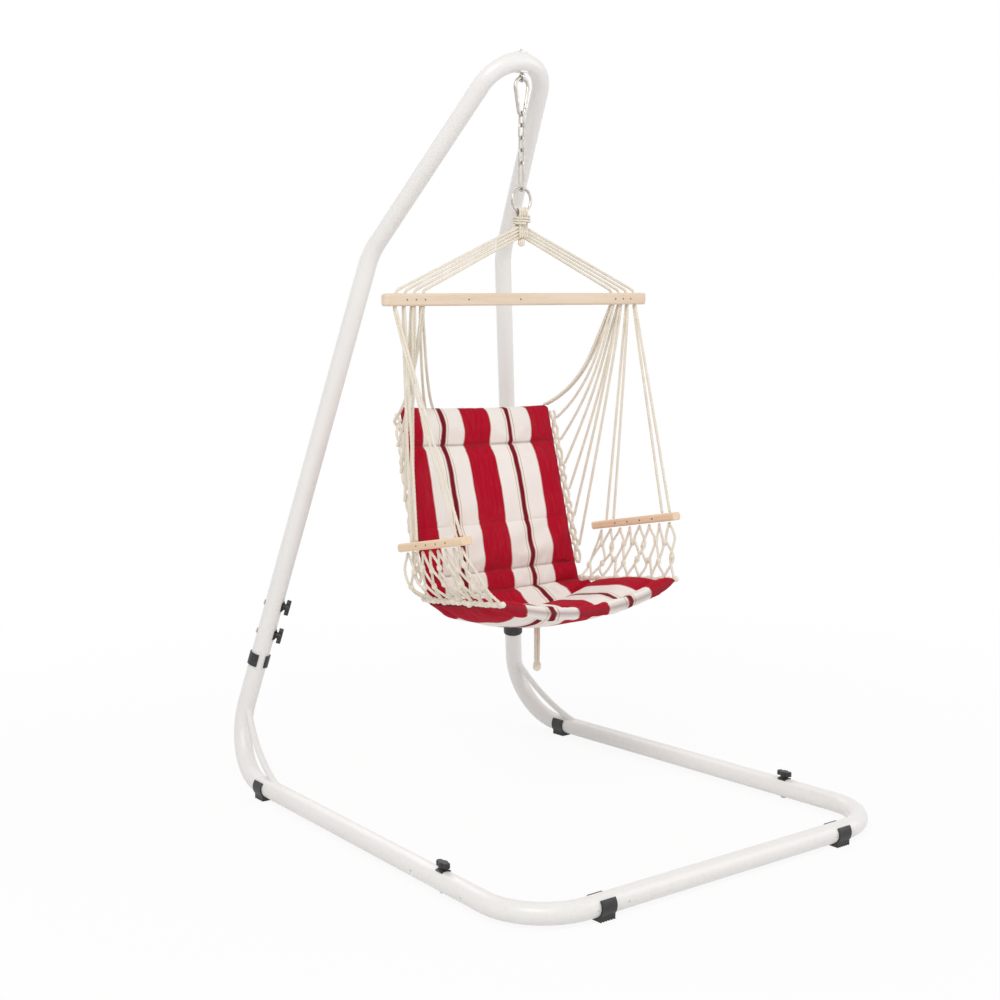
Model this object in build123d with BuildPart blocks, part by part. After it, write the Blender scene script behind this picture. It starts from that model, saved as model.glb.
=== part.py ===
"""Hammock chair hung by a snap hook and chain from a bent-tube stand.

Millimetres, +Z up. The chair faces -Y and the floor is Z = 0.
"""

import os
from math import asin, atan2, cos, hypot, pi, radians, sin, sqrt, tan

from build123d import *

os.makedirs("parts", exist_ok=True)

# Stand tube and base
tube_od = 51.0
tube_wall = 2.0
slip = 0.1
seat_gap = 0.1
foot_drop = 7.0
front_half_width = 597.0
rear_half_width = 525.0
front_y = -702.3
rear_y = 745.0
corner_radius = 160.0
rear_radius = 168.0
rail_joint_y = -307.0
rail_overlap = 120.0
rail_knob_set = 60.0
swage_length = 8.0

# Uprights and top bend
kink_x = 228.0
kink_y = 435.0
kink_z = 1490.0
kink_radius = 150.0
apex_y = 67.0
apex_z = 1973.0
apex_radius = 102.0
upright_joint = 334.0
upright_overlap = 190.0
upright_knob_sets = (80.0, 165.0)
sleeve_past = 18.0
sleeve_overlap = 45.0

# Brace rods
brace_diameter = 18.0
brace_up = 205.0
brace_along = 360.0
brace_bow = 46.0

# Clip feet and upright clips
foot_sets = {"front_left": 39.0, "front_right": 24.0, "left": 24.0, "right": 24.0}
clip_wall = 4.5
clip_length = 44.0
clip_opening = 100.0
sole_width = 46.0
tooth_count = 6
tooth_depth = 5.0
collar_length = 35.0
collar_opening = 45.0
collar_wall = 4.0
collar_sets = {"left": 0.0, "right": -29.0}
collar_faces = {"left": (-0.25, -0.97), "right": (0.6, 0.8)}

# Wing knobs, bolts and saddles
bolt_diameter = 8.0
bolt_hole_gap = 0.2
run_gap = 0.05
bolt_head_diameter = 17.0
bolt_head_height = 3.0
saddle_wall = 3.0
saddle_length = 26.0
saddle_angle = 58.0
saddle_boss_diameter = 22.0
saddle_boss_height = 4.0
knob_rest_gap = 0.3
knob_neck_diameter = 18.0
knob_neck_height = 4.0
knob_wing_height = 12.0
knob_lobe_diameter = 17.0
knob_lobe_offset = 14.0
knob_hub_diameter = 24.0
knob_bore_depth = 12.0
knob_round = 2.5
knob_inward = 0.79
knob_forward = 0.62

# Rivets
rivet_diameter = 6.0
rivet_height = 1.6
rivet_set = 9.0
rivet_spacing = 92.0
rail_rivets = (-266.0, -477.0)

# Eye bolt at the top bend
eye_wire = 6.0
eye_bore = 12.5
eye_shank = 8.0
eye_saddle_wall = 1.5
eye_saddle_length = 22.0
eye_saddle_angle = 60.0
nut_flats = 13.0
nut_height = 4.0
shank_past_nut = 1.0

# Snap hook
hook_wire = 10.0
hook_top_radius = 21.0
hook_bottom_radius = 10.0
hook_span = 62.0
gate_diameter = 9.0
gate_nose_gap = 0.5
gate_nose_drop = 8.0
gate_pivot_rise = 12.0
gate_tongue = 4.0
gate_slot_gap = 0.2
gate_pin_diameter = 3.0
gate_end = 4.5
gate_shoulder_gap = 1.2
hang_gap = 0.3

# Chain
chain_wire = 6.0
link_half_width = 8.0
link_straight = 22.0
link_count = 4
long_link_straight = 58.0
long_link_half_width = 9.0
ring_radius = 31.0
ring_wire = 8.0

# Cords and their binding at the ring
cord = 8.0
eye_cord = 7.0
eye_loop_pitch = 7.2
eye_loop_count = 4
eye_loop_gap = 1.4
binding_cord = 6.0
binding_turns = 3
binding_gap = 0.8
binding_core_gap = 0.6
head_reach = 38.0
head_knot = 20.0
bridle_pitch = 9.0
bridle_side_offset = 2.0

# Spreader bar, hung below the centre of the ring
bar_half_length = 439.0
bar_drop = 257.3
bar_height = 32.0
bar_depth = 30.0
bar_round = 6.0
bar_end_round = 11.0
bar_holes = (321.0, 349.0, 377.0, 405.0)
cord_hole_gap = 0.5
bar_cord_rise = 4.4
bar_cord_drop = 6.0
nail_diameter = 4.0
nail_height = 0.8
nail_xs = (-377.0, -349.0, -321.0, -184.0, -14.0, 321.0, 349.0, 377.0)

# Padded seat and back, in the plane of symmetry: behind the hanging line and below the ring's centre
back_top = (218.0, 555.3)
pad_corner = (70.0, 1121.3)
seat_front = (-306.0, 1045.3)
pad_bend = 80.0
top_half_width = 250.0
junction_half_width = 265.0
front_half_seat = 290.0
top_sag = 30.0
back_sag = 20.0
seat_sag = 60.0
front_sag = 48.0
pad_edge = 14.0
back_full = 34.0
seat_full = 46.0
pad_seam = 18.0
pad_crown_width = 110.0
head_seam_at = 105.0
lumbar_seam_at = 325.0
loin_seam_at = 455.0
front_seam_back = 48.0

# Edge nets beside the back
edge_net_width = 24.0
edge_net_thickness = 5.0
edge_net_gap = 0.5
edge_net_slots = 15
edge_net_slot_width = 9.0
edge_net_slot_share = 0.72
edge_net_end = 20.0
edge_net_foot = 45.0

# Seat hem, armrests and their nets, the armrests' heights below the ring's centre
hem_cord = 8.0
hem_gap = 0.5
hem_rise = -2.0
armrest_rear = (333.0, 78.0, 897.3)
armrest_front = (355.0, -231.0, 839.3)
armrest_height = 22.0
armrest_width = 30.0
armrest_round = 7.0
rear_cord_share = 0.2
front_cord_share = 0.88
net_thickness = 5.0
net_gap = 0.6
net_columns = 8
net_rows = 3
net_strand = 6.0
net_border = 5.0

# Cord pairs down to the back and the armrests
pair_pitch = 9.8
arm_tie_pitch = 28.0
cord_end_gap = 0.6
top_tie_insets = {"left": 95.0, "right": 4.0}
top_tie_pitch = 14.0
side_tie_sets = (40.0, 105.0, 175.0, 250.0, 330.0, 415.0)
back_cord_sags = (58.0, 56.0, 52.0, 44.0, 34.0, 26.0, 16.0, 10.0)

# Tail cord under the seat
tail_y = -69.0
tail_strand = 9.0
tail_pitch = 9.6
tail_drop = 1237.3
tail_knot = 22.0
tail_gap = 1.0

# Values worked out from the sizes above
sides = (("left", -1), ("right", 1))
base_z = tube_od / 2 + foot_drop
inner_od = tube_od - 2 * tube_wall - 2 * slip
arm_od = {-1: tube_od, 1: inner_od}
apex = Vector(0, apex_y, apex_z)
kink_middle = Vector(0, kink_y, kink_z)
rise = (apex - kink_middle).normalized()
arm_reach = (apex - kink_middle).length - apex_radius
touch_angle = atan2(arm_reach, kink_x) + asin(apex_radius / hypot(kink_x, arm_reach))


def rail_at(side, y):
    """Centre of a side rail at a given y."""
    share = (rear_y - y) / (rear_y - front_y)
    half_width = rear_half_width + (front_half_width - rear_half_width) * share
    return Vector(side * half_width, y, base_z)


def kink_at(side):
    """Corner where an upright turns into its arm."""
    return Vector(side * kink_x, kink_y, kink_z)


def upright_direction(side):
    """Unit vector up an upright."""
    return (kink_at(side) - rail_at(side, rear_y)).normalized()


def upright_at(side, distance):
    """Centre of an upright at a distance above the base corner."""
    return rail_at(side, rear_y) + upright_direction(side) * distance


def apex_arc(angle):
    """Centre of the top bend, at an angle in radians from its crown towards +X."""
    return apex + rise * (apex_radius * (cos(angle) - 1)) + Vector(apex_radius * sin(angle), 0, 0)


def bend(before, corner, after, radius):
    """Start, middle and end of the arc that rounds a corner of a route."""
    one = (before - corner).normalized()
    two = (after - corner).normalized()
    half = radians(one.get_angle(two)) / 2
    centre = corner + (one + two).normalized() * (radius / sin(half))
    reach = radius / tan(half)
    middle = centre + (corner - centre).normalized() * radius
    return corner + one * reach, middle, corner + two * reach


def foot_place(spot):
    """Centre of a foot and the direction of its tube, set back from the nearest bend."""
    if spot.startswith("front"):
        side = -1 if spot.endswith("left") else 1
        corner = rail_at(side, front_y)
        start = bend(rail_at(-side, front_y), corner, rail_at(side, rear_y), corner_radius)[0]
        along = Vector(side, 0, 0)
    else:
        side = -1 if spot == "left" else 1
        corner = rail_at(side, rear_y)
        start = bend(rail_at(side, front_y), corner, kink_at(side), rear_radius)[0]
        along = (corner - rail_at(side, front_y)).normalized()
    return start - along * foot_sets[spot], along


def square_to_upright(side, aim):
    """Unit vector square to an upright, as near as can be to a level aim."""
    along = upright_direction(side)
    return (aim - along * aim.dot(along)).normalized()


def knob_axis(side):
    """Direction in which an upright's wing knobs point."""
    return square_to_upright(side, Vector(-side * knob_inward, -knob_forward, 0))


# Base: one U of tube across the front, with plain ends
with BuildPart() as base_front_tube:
    with BuildLine() as route:
        left_end = rail_at(-1, rail_joint_y)
        left_corner = bend(left_end, rail_at(-1, front_y), rail_at(1, front_y), corner_radius)
        right_end = rail_at(1, rail_joint_y)
        right_corner = bend(rail_at(-1, front_y), rail_at(1, front_y), right_end, corner_radius)
        Line(left_end, left_corner[0])
        ThreePointArc(*left_corner)
        Line(left_corner[2], right_corner[0])
        ThreePointArc(*right_corner)
        Line(right_corner[2], right_end)
    with BuildSketch(Plane(origin=route.line @ 0, z_dir=route.line % 0)):
        Circle(tube_od / 2)
        Circle(tube_od / 2 - tube_wall, mode=Mode.SUBTRACT)
    sweep()
    with BuildSketch(Plane.XY.offset(base_z)):
        for name, side in sides:
            hole = rail_at(side, rail_joint_y - rail_knob_set)
            with Locations((hole.X, hole.Y)):
                Circle(bolt_diameter / 2 + bolt_hole_gap)
    extrude(amount=tube_od, both=True, mode=Mode.SUBTRACT)
base_front_tube.part.label = "base_front_tube"
export_step(base_front_tube.part, "parts/base_front_tube.step")

# Base: each side rail turns up into the lower upright and has a reduced end at both joints
for name, side in sides:
    with BuildPart() as side_tube:
        rail_end = rail_at(side, rail_joint_y)
        upright_end = upright_at(side, upright_joint)
        with BuildLine() as route:
            turn = bend(rail_end, rail_at(side, rear_y), upright_end, rear_radius)
            Line(rail_end, turn[0])
            ThreePointArc(*turn)
            Line(turn[2], upright_end)
        with BuildSketch(Plane(origin=rail_end, z_dir=route.line % 0)):
            Circle(tube_od / 2)
            Circle(tube_od / 2 - tube_wall, mode=Mode.SUBTRACT)
        sweep()
        arm_spigot = arm_od[side] - 2 * tube_wall - 2 * slip
        ends = (
            (Plane(origin=rail_end, z_dir=rail_end - turn[0]), inner_od, rail_overlap),
            (Plane(origin=upright_end, z_dir=upright_end - turn[2]), arm_spigot, upright_overlap),
        )
        for plane, outer, overlap in ends:
            with BuildSketch(plane):
                Circle(outer / 2)
                Circle(outer / 2 - tube_wall, mode=Mode.SUBTRACT)
            extrude(amount=overlap)
            with BuildSketch(plane):
                Circle(tube_od / 2)
                Circle(outer / 2 - tube_wall, mode=Mode.SUBTRACT)
            extrude(amount=-swage_length)
        hole = rail_at(side, rail_joint_y - rail_knob_set)
        with BuildSketch(Plane(origin=hole, z_dir=(0, 0, 1))):
            Circle(bolt_diameter / 2 + bolt_hole_gap)
        extrude(amount=tube_od, both=True, mode=Mode.SUBTRACT)
        for knob_set in upright_knob_sets:
            hole = upright_at(side, upright_joint + knob_set)
            with BuildSketch(Plane(origin=hole, z_dir=knob_axis(side))):
                Circle(bolt_diameter / 2 + bolt_hole_gap)
            extrude(amount=tube_od, both=True, mode=Mode.SUBTRACT)
    side_tube.part.label = f"base_{name}_tube"
    export_step(side_tube.part, f"parts/base_{name}_tube.step")

# Arms: upper upright, kink and top bend; the right arm's end slides into the left arm's sleeve
for name, side in sides:
    tip_angle = {-1: sleeve_past / apex_radius, 1: -sleeve_overlap / apex_radius}[side]
    with BuildPart() as arm_tube:
        start = upright_at(side, upright_joint)
        touch = apex_arc(side * touch_angle)
        with BuildLine() as route:
            turn = bend(start, kink_at(side), touch, kink_radius)
            Line(start, turn[0])
            ThreePointArc(*turn)
            Line(turn[2], touch)
            ThreePointArc(touch, apex_arc((side * touch_angle + tip_angle) / 2), apex_arc(tip_angle))
        with BuildSketch(Plane(origin=start, x_dir=(0, 1, 0), z_dir=route.line % 0)):
            Circle(arm_od[side] / 2)
            Circle(arm_od[side] / 2 - tube_wall, mode=Mode.SUBTRACT)
        sweep()
        for knob_set in upright_knob_sets:
            hole = upright_at(side, upright_joint + knob_set)
            with BuildSketch(Plane(origin=hole, z_dir=knob_axis(side))):
                Circle(bolt_diameter / 2 + bolt_hole_gap)
            extrude(amount=tube_od, both=True, mode=Mode.SUBTRACT)
        with BuildSketch(Plane(origin=apex, z_dir=(0, 0, 1))):
            Circle(eye_shank / 2 + run_gap)
        extrude(amount=tube_od, both=True, mode=Mode.SUBTRACT)
    arm_tube.part.label = f"arm_{name}_tube"
    export_step(arm_tube.part, f"parts/arm_{name}_tube.step")

# Braces: a bowed rod welded inside each rear bend, its ends cut to the tube
for name, side in sides:
    with BuildPart() as brace:
        corner = rail_at(side, rear_y)
        upper = upright_at(side, brace_up)
        lower = corner + (rail_at(side, front_y) - corner).normalized() * brace_along
        chord_middle = (upper + lower) * 0.5
        middle = chord_middle + (corner - chord_middle).normalized() * brace_bow
        with BuildLine() as brace_route:
            ThreePointArc(upper, middle, lower)
        with BuildSketch(Plane(origin=upper, z_dir=brace_route.line % 0)):
            Circle(brace_diameter / 2)
        sweep()
        with BuildLine() as tube_route:
            rail_end = rail_at(side, rail_joint_y)
            upright_end = upright_at(side, upright_joint)
            turn = bend(rail_end, corner, upright_end, rear_radius)
            Line(rail_end, turn[0])
            ThreePointArc(*turn)
            Line(turn[2], upright_end)
        with BuildSketch(Plane(origin=rail_end, z_dir=tube_route.line % 0)):
            Circle(tube_od / 2)
        sweep(mode=Mode.SUBTRACT)
    brace.part.label = f"brace_{name}"
    export_step(brace.part, f"parts/brace_{name}.step")

# Feet: plastic clips snapped on the base from below, with a toothed sole
with BuildPart() as feet:
    for spot in foot_sets:
        centre, along = foot_place(spot)
        across = Vector(0, 0, 1).cross(along)
        with BuildSketch(Plane(origin=centre, x_dir=across, z_dir=along)):
            Circle(tube_od / 2 + clip_wall)
            with Locations((0, -(tube_od / 2 + foot_drop + tooth_depth) / 2)):
                Rectangle(sole_width, tube_od / 2 + foot_drop - tooth_depth)
            Circle(tube_od / 2 + seat_gap, mode=Mode.SUBTRACT)
            with BuildLine():
                reach = tube_od
                lean = radians(clip_opening / 2)
                Polyline(
                    (0, 0),
                    (reach * sin(lean), reach * cos(lean)),
                    (-reach * sin(lean), reach * cos(lean)),
                    close=True,
                )
            make_face(mode=Mode.SUBTRACT)
            with Locations((0, -base_z)):
                Rectangle(2 * tube_od, 2 * tooth_depth, mode=Mode.SUBTRACT)
        extrude(amount=clip_length / 2, both=True)
        floor_plane = Plane(origin=(centre.X, centre.Y, 0), x_dir=along, z_dir=(0, 0, 1))
        tooth_pitch = clip_length / (tooth_count - 0.5)
        with BuildSketch(floor_plane):
            with GridLocations(tooth_pitch, 1, tooth_count, 1):
                Rectangle(tooth_pitch / 2, sole_width)
        extrude(amount=tooth_depth)
feet.part.label = "feet"
export_step(feet.part, "parts/feet.step")

# Collars: open plastic clips over or just under the joint of each upright
with BuildPart() as collars:
    for name, side in sides:
        middle = upright_at(side, upright_joint + collar_sets[name])
        facing = square_to_upright(side, Vector(*collar_faces[name], 0))
        with BuildSketch(Plane(origin=middle, x_dir=facing, z_dir=upright_direction(side))):
            Circle(tube_od / 2 + collar_wall)
            Circle(tube_od / 2 + seat_gap, mode=Mode.SUBTRACT)
            with BuildLine():
                lean = radians(collar_opening / 2)
                Polyline(
                    (0, 0),
                    (tube_od * cos(lean), tube_od * sin(lean)),
                    (tube_od * cos(lean), -tube_od * sin(lean)),
                    close=True,
                )
            make_face(mode=Mode.SUBTRACT)
        extrude(amount=collar_length / 2, both=True)
collars.part.label = "collars"
export_step(collars.part, "parts/collars.step")

# Wing knob stations: name, point on the tube's axis, axis, direction of the tube and its radius
knob_stations = []
for name, side in sides:
    along_rail = (rail_at(side, front_y) - rail_at(side, rear_y)).normalized()
    point = rail_at(side, rail_joint_y - rail_knob_set)
    knob_stations.append((f"rail_knob_{name}", point, Vector(0, 0, 1), along_rail, tube_od / 2))
    for level, knob_set in zip(("lower", "upper"), upright_knob_sets):
        point = upright_at(side, upright_joint + knob_set)
        label = f"upright_knob_{name}_{level}"
        along_upright = upright_direction(side)
        knob_stations.append((label, point, knob_axis(side), along_upright, arm_od[side] / 2))

# Saddles: curved plastic washers between the tubes and the knobs
with BuildPart() as saddles:
    for label, point, axis, along, radius in knob_stations:
        with BuildSketch(Plane(origin=point, x_dir=axis, z_dir=along)):
            Circle(radius + saddle_wall)
            Circle(radius + seat_gap, mode=Mode.SUBTRACT)
            with BuildLine():
                lean = radians(saddle_angle / 2)
                far = 2 * tube_od
                high = (far * cos(lean), far * sin(lean))
                low = (far * cos(lean), -far * sin(lean))
                Polyline((0, 0), high, low, close=True)
            make_face(mode=Mode.INTERSECT)
        extrude(amount=saddle_length / 2, both=True)
        with BuildSketch(Plane(origin=point + axis * (radius + saddle_boss_height), z_dir=axis)):
            Circle(saddle_boss_diameter / 2)
        extrude(amount=-(saddle_boss_height - saddle_wall / 2))
        with BuildSketch(Plane(origin=point, z_dir=axis)):
            Circle(bolt_diameter / 2 + bolt_hole_gap)
        extrude(amount=2 * tube_od, mode=Mode.SUBTRACT)
saddles.part.label = "saddles"
export_step(saddles.part, "parts/saddles.step")

# Bolts: dome-headed, through both tubes, one group for the rails and one for the uprights
for group in ("rail", "upright"):
    with BuildPart() as bolts:
        for label, point, axis, along, radius in knob_stations:
            if not label.startswith(group):
                continue
            tip = radius + saddle_boss_height + knob_rest_gap + knob_bore_depth - knob_rest_gap
            with BuildSketch(Plane(origin=point - axis * (radius + seat_gap), z_dir=axis)):
                Circle(bolt_diameter / 2)
            extrude(amount=radius + seat_gap + tip)
            with BuildSketch(Plane(origin=point - axis * (radius + seat_gap), z_dir=-axis)):
                Circle(bolt_head_diameter / 2)
            extrude(amount=bolt_head_height, taper=20)
    bolts.part.label = f"{group}_bolts"
    export_step(bolts.part, f"parts/{group}_bolts.step")

# Wing knobs: a neck and a two-lobed wing with a blind bore on the bolt
for label, point, axis, along, radius in knob_stations:
    with BuildPart() as knob:
        seat = Plane(
            origin=point + axis * (radius + saddle_boss_height + knob_rest_gap), x_dir=along, z_dir=axis
        )
        with BuildSketch(seat):
            Circle(knob_neck_diameter / 2)
        extrude(amount=knob_neck_height)
        with BuildSketch(seat.offset(knob_neck_height)):
            Circle(knob_hub_diameter / 2)
            with Locations((-knob_lobe_offset, 0), (knob_lobe_offset, 0)):
                Circle(knob_lobe_diameter / 2)
        extrude(amount=knob_wing_height)
        top_faces = knob.faces().filter_by(Plane(origin=(0, 0, 0), z_dir=axis))
        wing_top = top_faces.sort_by(lambda face: (face.center() - point).dot(axis))[-1]
        fillet(wing_top.edges(), knob_round)
        with BuildSketch(seat):
            Circle(bolt_diameter / 2 + run_gap)
        extrude(amount=knob_bore_depth, mode=Mode.SUBTRACT)
    knob.part.label = label
    export_step(knob.part, f"parts/{label}.step")

# Rivets: small domes where the tube ends are pinned
with BuildPart() as rivets:
    left_foot = foot_place("front_left")[0]
    right_foot = foot_place("front_right")[0]
    beside = Vector(clip_length / 2 + rivet_set, 0, 0)
    first = left_foot - beside
    spots = [first, first + Vector(rivet_spacing, 0, 0), right_foot - beside]
    spots = [(spot, Vector(0, -1, 0)) for spot in spots]
    for name, side in sides:
        along = (rail_at(side, rear_y) - rail_at(side, front_y)).normalized()
        spots += [(rail_at(side, y), along.cross(Vector(0, 0, side))) for y in rail_rivets]
    for centre, outward in spots:
        with BuildSketch(Plane(origin=centre + outward * (tube_od / 2), z_dir=outward)):
            Circle(rivet_diameter / 2)
        extrude(amount=rivet_height, taper=30)
rivets.part.label = "rivets"
export_step(rivets.part, "parts/rivets.step")

# Eye bolt: shank through the top bend, eye in the fore-and-aft plane below it
tube_bottom = apex_z - tube_od / 2
tube_top = apex_z + tube_od / 2
eye_radius = (eye_bore + eye_wire) / 2
eye_z = tube_bottom - eye_saddle_wall - hang_gap - eye_radius - eye_wire / 2
nut_bottom = tube_top + eye_saddle_wall + hang_gap
with BuildPart() as eye_bolt:
    with Locations(Location((0, apex_y, eye_z), (0, 90, 0))):
        Torus(eye_radius, eye_wire / 2)
    with BuildSketch(Plane(origin=(0, apex_y, eye_z + eye_radius), z_dir=(0, 0, 1))):
        Circle(eye_shank / 2)
    extrude(amount=nut_bottom + nut_height + shank_past_nut - eye_z - eye_radius)
eye_bolt.part.label = "eye_bolt"
export_step(eye_bolt.part, "parts/eye_bolt.step")

with BuildPart() as eye_nut:
    with BuildSketch(Plane(origin=(0, apex_y, nut_bottom), z_dir=(0, 0, 1))):
        RegularPolygon(nut_flats / 2, 6, major_radius=False)
        Circle(eye_shank / 2 + run_gap, mode=Mode.SUBTRACT)
    extrude(amount=nut_height)
eye_nut.part.label = "eye_nut"
export_step(eye_nut.part, "parts/eye_nut.step")

# Saddles above and below the top bend, so that the eye bolt bears on a flat
with BuildPart() as eye_saddles:
    for sense in (1, -1):
        reach = tube_od / 2 + eye_saddle_wall
        with BuildSketch(Plane(origin=apex, x_dir=(0, 1, 0), z_dir=(1, 0, 0))):
            with BuildLine():
                half = tube_od / 2 * sin(radians(eye_saddle_angle / 2))
                Polyline((-half, 0), (half, 0), (half, sense * reach), (-half, sense * reach), close=True)
            make_face()
        extrude(amount=eye_saddle_length / 2, both=True)
    with BuildLine() as crown:
        ThreePointArc(apex_arc(-0.6), apex, apex_arc(0.6))
    with BuildSketch(Plane(origin=crown.line @ 0, z_dir=crown.line % 0)):
        Circle(tube_od / 2 + seat_gap)
    sweep(mode=Mode.SUBTRACT)
    with BuildSketch(Plane(origin=apex, z_dir=(0, 0, 1))):
        Circle(eye_shank / 2 + hang_gap)
    extrude(amount=tube_od, both=True, mode=Mode.SUBTRACT)
eye_saddles.part.label = "eye_saddles"
export_step(eye_saddles.part, "parts/eye_saddles.step")

# Snap hook: a pear of round wire in the side-to-side plane, wide end up, with a sprung gate
hook_top_z = eye_z - eye_radius + (eye_wire + hook_wire) / 2 + hang_gap
hook_centre = Vector(0, apex_y, hook_top_z - hook_top_radius)
hook_plane = Plane(origin=hook_centre, x_dir=(1, 0, 0), z_dir=(0, -1, 0))
flank_drop = (hook_top_radius - hook_bottom_radius) / hook_span
flank_out = sqrt(1 - flank_drop**2)
top_touch = Vector(hook_top_radius * flank_out, -hook_top_radius * flank_drop)
bottom_touch = Vector(hook_bottom_radius * flank_out, -hook_span - hook_bottom_radius * flank_drop)
flank = (top_touch - bottom_touch).normalized()
gate_pivot = bottom_touch + flank * gate_pivot_rise
gate_tip = top_touch - flank * gate_nose_drop
with BuildPart() as hook_body:
    with BuildLine(hook_plane) as route:
        nose = gate_tip + flank * gate_nose_gap
        heel = gate_pivot + flank * gate_end
        Line((nose.X, nose.Y), (top_touch.X, top_touch.Y))
        ThreePointArc(
            (top_touch.X, top_touch.Y), (0, hook_top_radius), (-top_touch.X, top_touch.Y)
        )
        Line((-top_touch.X, top_touch.Y), (-bottom_touch.X, bottom_touch.Y))
        ThreePointArc(
            (-bottom_touch.X, bottom_touch.Y),
            (0, -hook_span - hook_bottom_radius),
            (bottom_touch.X, bottom_touch.Y),
        )
        Line((bottom_touch.X, bottom_touch.Y), (heel.X, heel.Y))
    with BuildSketch(Plane(origin=route.line @ 0, z_dir=route.line % 0)):
        Circle(hook_wire / 2)
    sweep()
    pivot_plane = Plane(
        origin=hook_plane.from_local_coords(gate_pivot),
        x_dir=hook_plane.from_local_coords(flank) - hook_plane.origin,
        z_dir=(0, -1, 0),
    )
    shoulder = gate_end + gate_shoulder_gap
    with BuildSketch(pivot_plane.offset(gate_tongue / 2)):
        with Locations((hook_wire - shoulder, 0)):
            Rectangle(2 * hook_wire, 2 * hook_wire)
    extrude(amount=hook_wire, mode=Mode.SUBTRACT)
    with BuildSketch(pivot_plane.offset(-gate_tongue / 2)):
        with Locations((hook_wire - shoulder, 0)):
            Rectangle(2 * hook_wire, 2 * hook_wire)
    extrude(amount=-hook_wire, mode=Mode.SUBTRACT)
    with BuildSketch(pivot_plane):
        Circle(gate_pin_diameter / 2 + seat_gap)
    extrude(amount=hook_wire, both=True, mode=Mode.SUBTRACT)
hook_body.part.label = "hook_body"
export_step(hook_body.part, "parts/hook_body.step")

with BuildPart() as hook_gate:
    gate_length = (gate_tip - gate_pivot).length
    gate_foot = pivot_plane.origin - pivot_plane.x_dir * gate_end
    with BuildSketch(Plane(origin=gate_foot, z_dir=pivot_plane.x_dir)):
        Circle(gate_diameter / 2)
    extrude(amount=gate_end + gate_length)
    with BuildSketch(pivot_plane):
        with BuildLine():
            Line((0, gate_end), (-2 * gate_end, gate_end))
            Line((-2 * gate_end, gate_end), (-2 * gate_end, -gate_end))
            Line((-2 * gate_end, -gate_end), (0, -gate_end))
            ThreePointArc((0, -gate_end), (-gate_end, 0), (0, gate_end))
        make_face()
    extrude(amount=hook_wire, both=True, mode=Mode.SUBTRACT)
    with BuildSketch(pivot_plane):
        with Locations((0, 0)):
            Rectangle(4 * gate_end, 4 * gate_end)
    extrude(amount=gate_tongue / 2 + gate_slot_gap, both=True, mode=Mode.SUBTRACT)
    with BuildSketch(pivot_plane):
        Circle(gate_pin_diameter / 2 + run_gap)
    extrude(amount=hook_wire, both=True, mode=Mode.SUBTRACT)
hook_gate.part.label = "hook_gate"
export_step(hook_gate.part, "parts/hook_gate.step")

with BuildPart() as hook_pin:
    with BuildSketch(pivot_plane):
        Circle(gate_pin_diameter / 2)
    extrude(amount=gate_diameter / 2, both=True)
hook_pin.part.label = "hook_pin"
export_step(hook_pin.part, "parts/hook_pin.step")

# Chain: short links turned a quarter to each other, then one long link
hook_bottom_z = hook_centre.Z - hook_span - hook_bottom_radius
link_top = hook_bottom_z + (hook_wire + chain_wire) / 2 + hang_gap
link_sizes = [(f"chain_link_{n + 1}", link_half_width, link_straight) for n in range(link_count)]
link_sizes.append(("long_link", long_link_half_width, long_link_straight))
for index, (label, half_width, straight) in enumerate(link_sizes):
    side_on = index % 2 == 0
    centre = Vector(0, apex_y, link_top - half_width - straight / 2)
    link_x = (0, 1, 0) if side_on else (1, 0, 0)
    link_z = (1, 0, 0) if side_on else (0, -1, 0)
    with BuildPart() as link:
        with BuildLine(Plane(origin=centre, x_dir=link_x, z_dir=link_z)) as route:
            Line((half_width, -straight / 2), (half_width, straight / 2))
            ThreePointArc(
                (half_width, straight / 2), (0, straight / 2 + half_width), (-half_width, straight / 2)
            )
            Line((-half_width, straight / 2), (-half_width, -straight / 2))
            ThreePointArc(
                (-half_width, -straight / 2), (0, -straight / 2 - half_width), (half_width, -straight / 2)
            )
        with BuildSketch(Plane(origin=route.line @ 0, z_dir=route.line % 0)):
            Circle(chain_wire / 2)
        sweep()
    link.part.label = label
    export_step(link.part, f"parts/{label}.step")
    link_bottom = link_top - 2 * half_width - straight
    link_top = link_bottom + chain_wire + hang_gap

# Ring: welded, in the side-to-side plane
ring_top = link_bottom + (chain_wire + ring_wire) / 2 + hang_gap
ring_z = ring_top - ring_radius
with BuildPart() as ring:
    with Locations(Location((0, apex_y, ring_z), (90, 0, 0))):
        Torus(ring_radius, ring_wire / 2)
ring.part.label = "ring"
export_step(ring.part, "parts/ring.step")

# Rope eye: loops of cord over the ring, side by side, their legs bound below
loop_radius = ring_wire / 2 + eye_loop_gap + eye_cord / 2
loop_xs = [(n - (eye_loop_count - 1) / 2) * eye_loop_pitch for n in range(eye_loop_count)]
binding_core = hypot(loop_xs[-1], loop_radius) + eye_cord / 2
binding_radius = binding_core + binding_core_gap + binding_cord / 2
binding_pitch = binding_cord + binding_gap
binding_top = ring_z - ring_radius - ring_wire / 2 - binding_cord
binding_bottom = binding_top - binding_turns * binding_pitch
legs_bottom = binding_bottom - head_reach
with BuildPart() as rope_eye:
    for x in loop_xs:
        crown_z = ring_z - sqrt(ring_radius**2 - x**2)
        with BuildLine() as route:
            Line((x, apex_y - loop_radius, legs_bottom), (x, apex_y - loop_radius, crown_z))
            ThreePointArc(
                (x, apex_y - loop_radius, crown_z),
                (x, apex_y, crown_z + loop_radius),
                (x, apex_y + loop_radius, crown_z),
            )
            Line((x, apex_y + loop_radius, crown_z), (x, apex_y + loop_radius, legs_bottom))
        with BuildSketch(Plane(origin=route.line @ 0, z_dir=route.line % 0)):
            Circle(eye_cord / 2)
        sweep()
rope_eye.part.label = "rope_eye"
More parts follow.
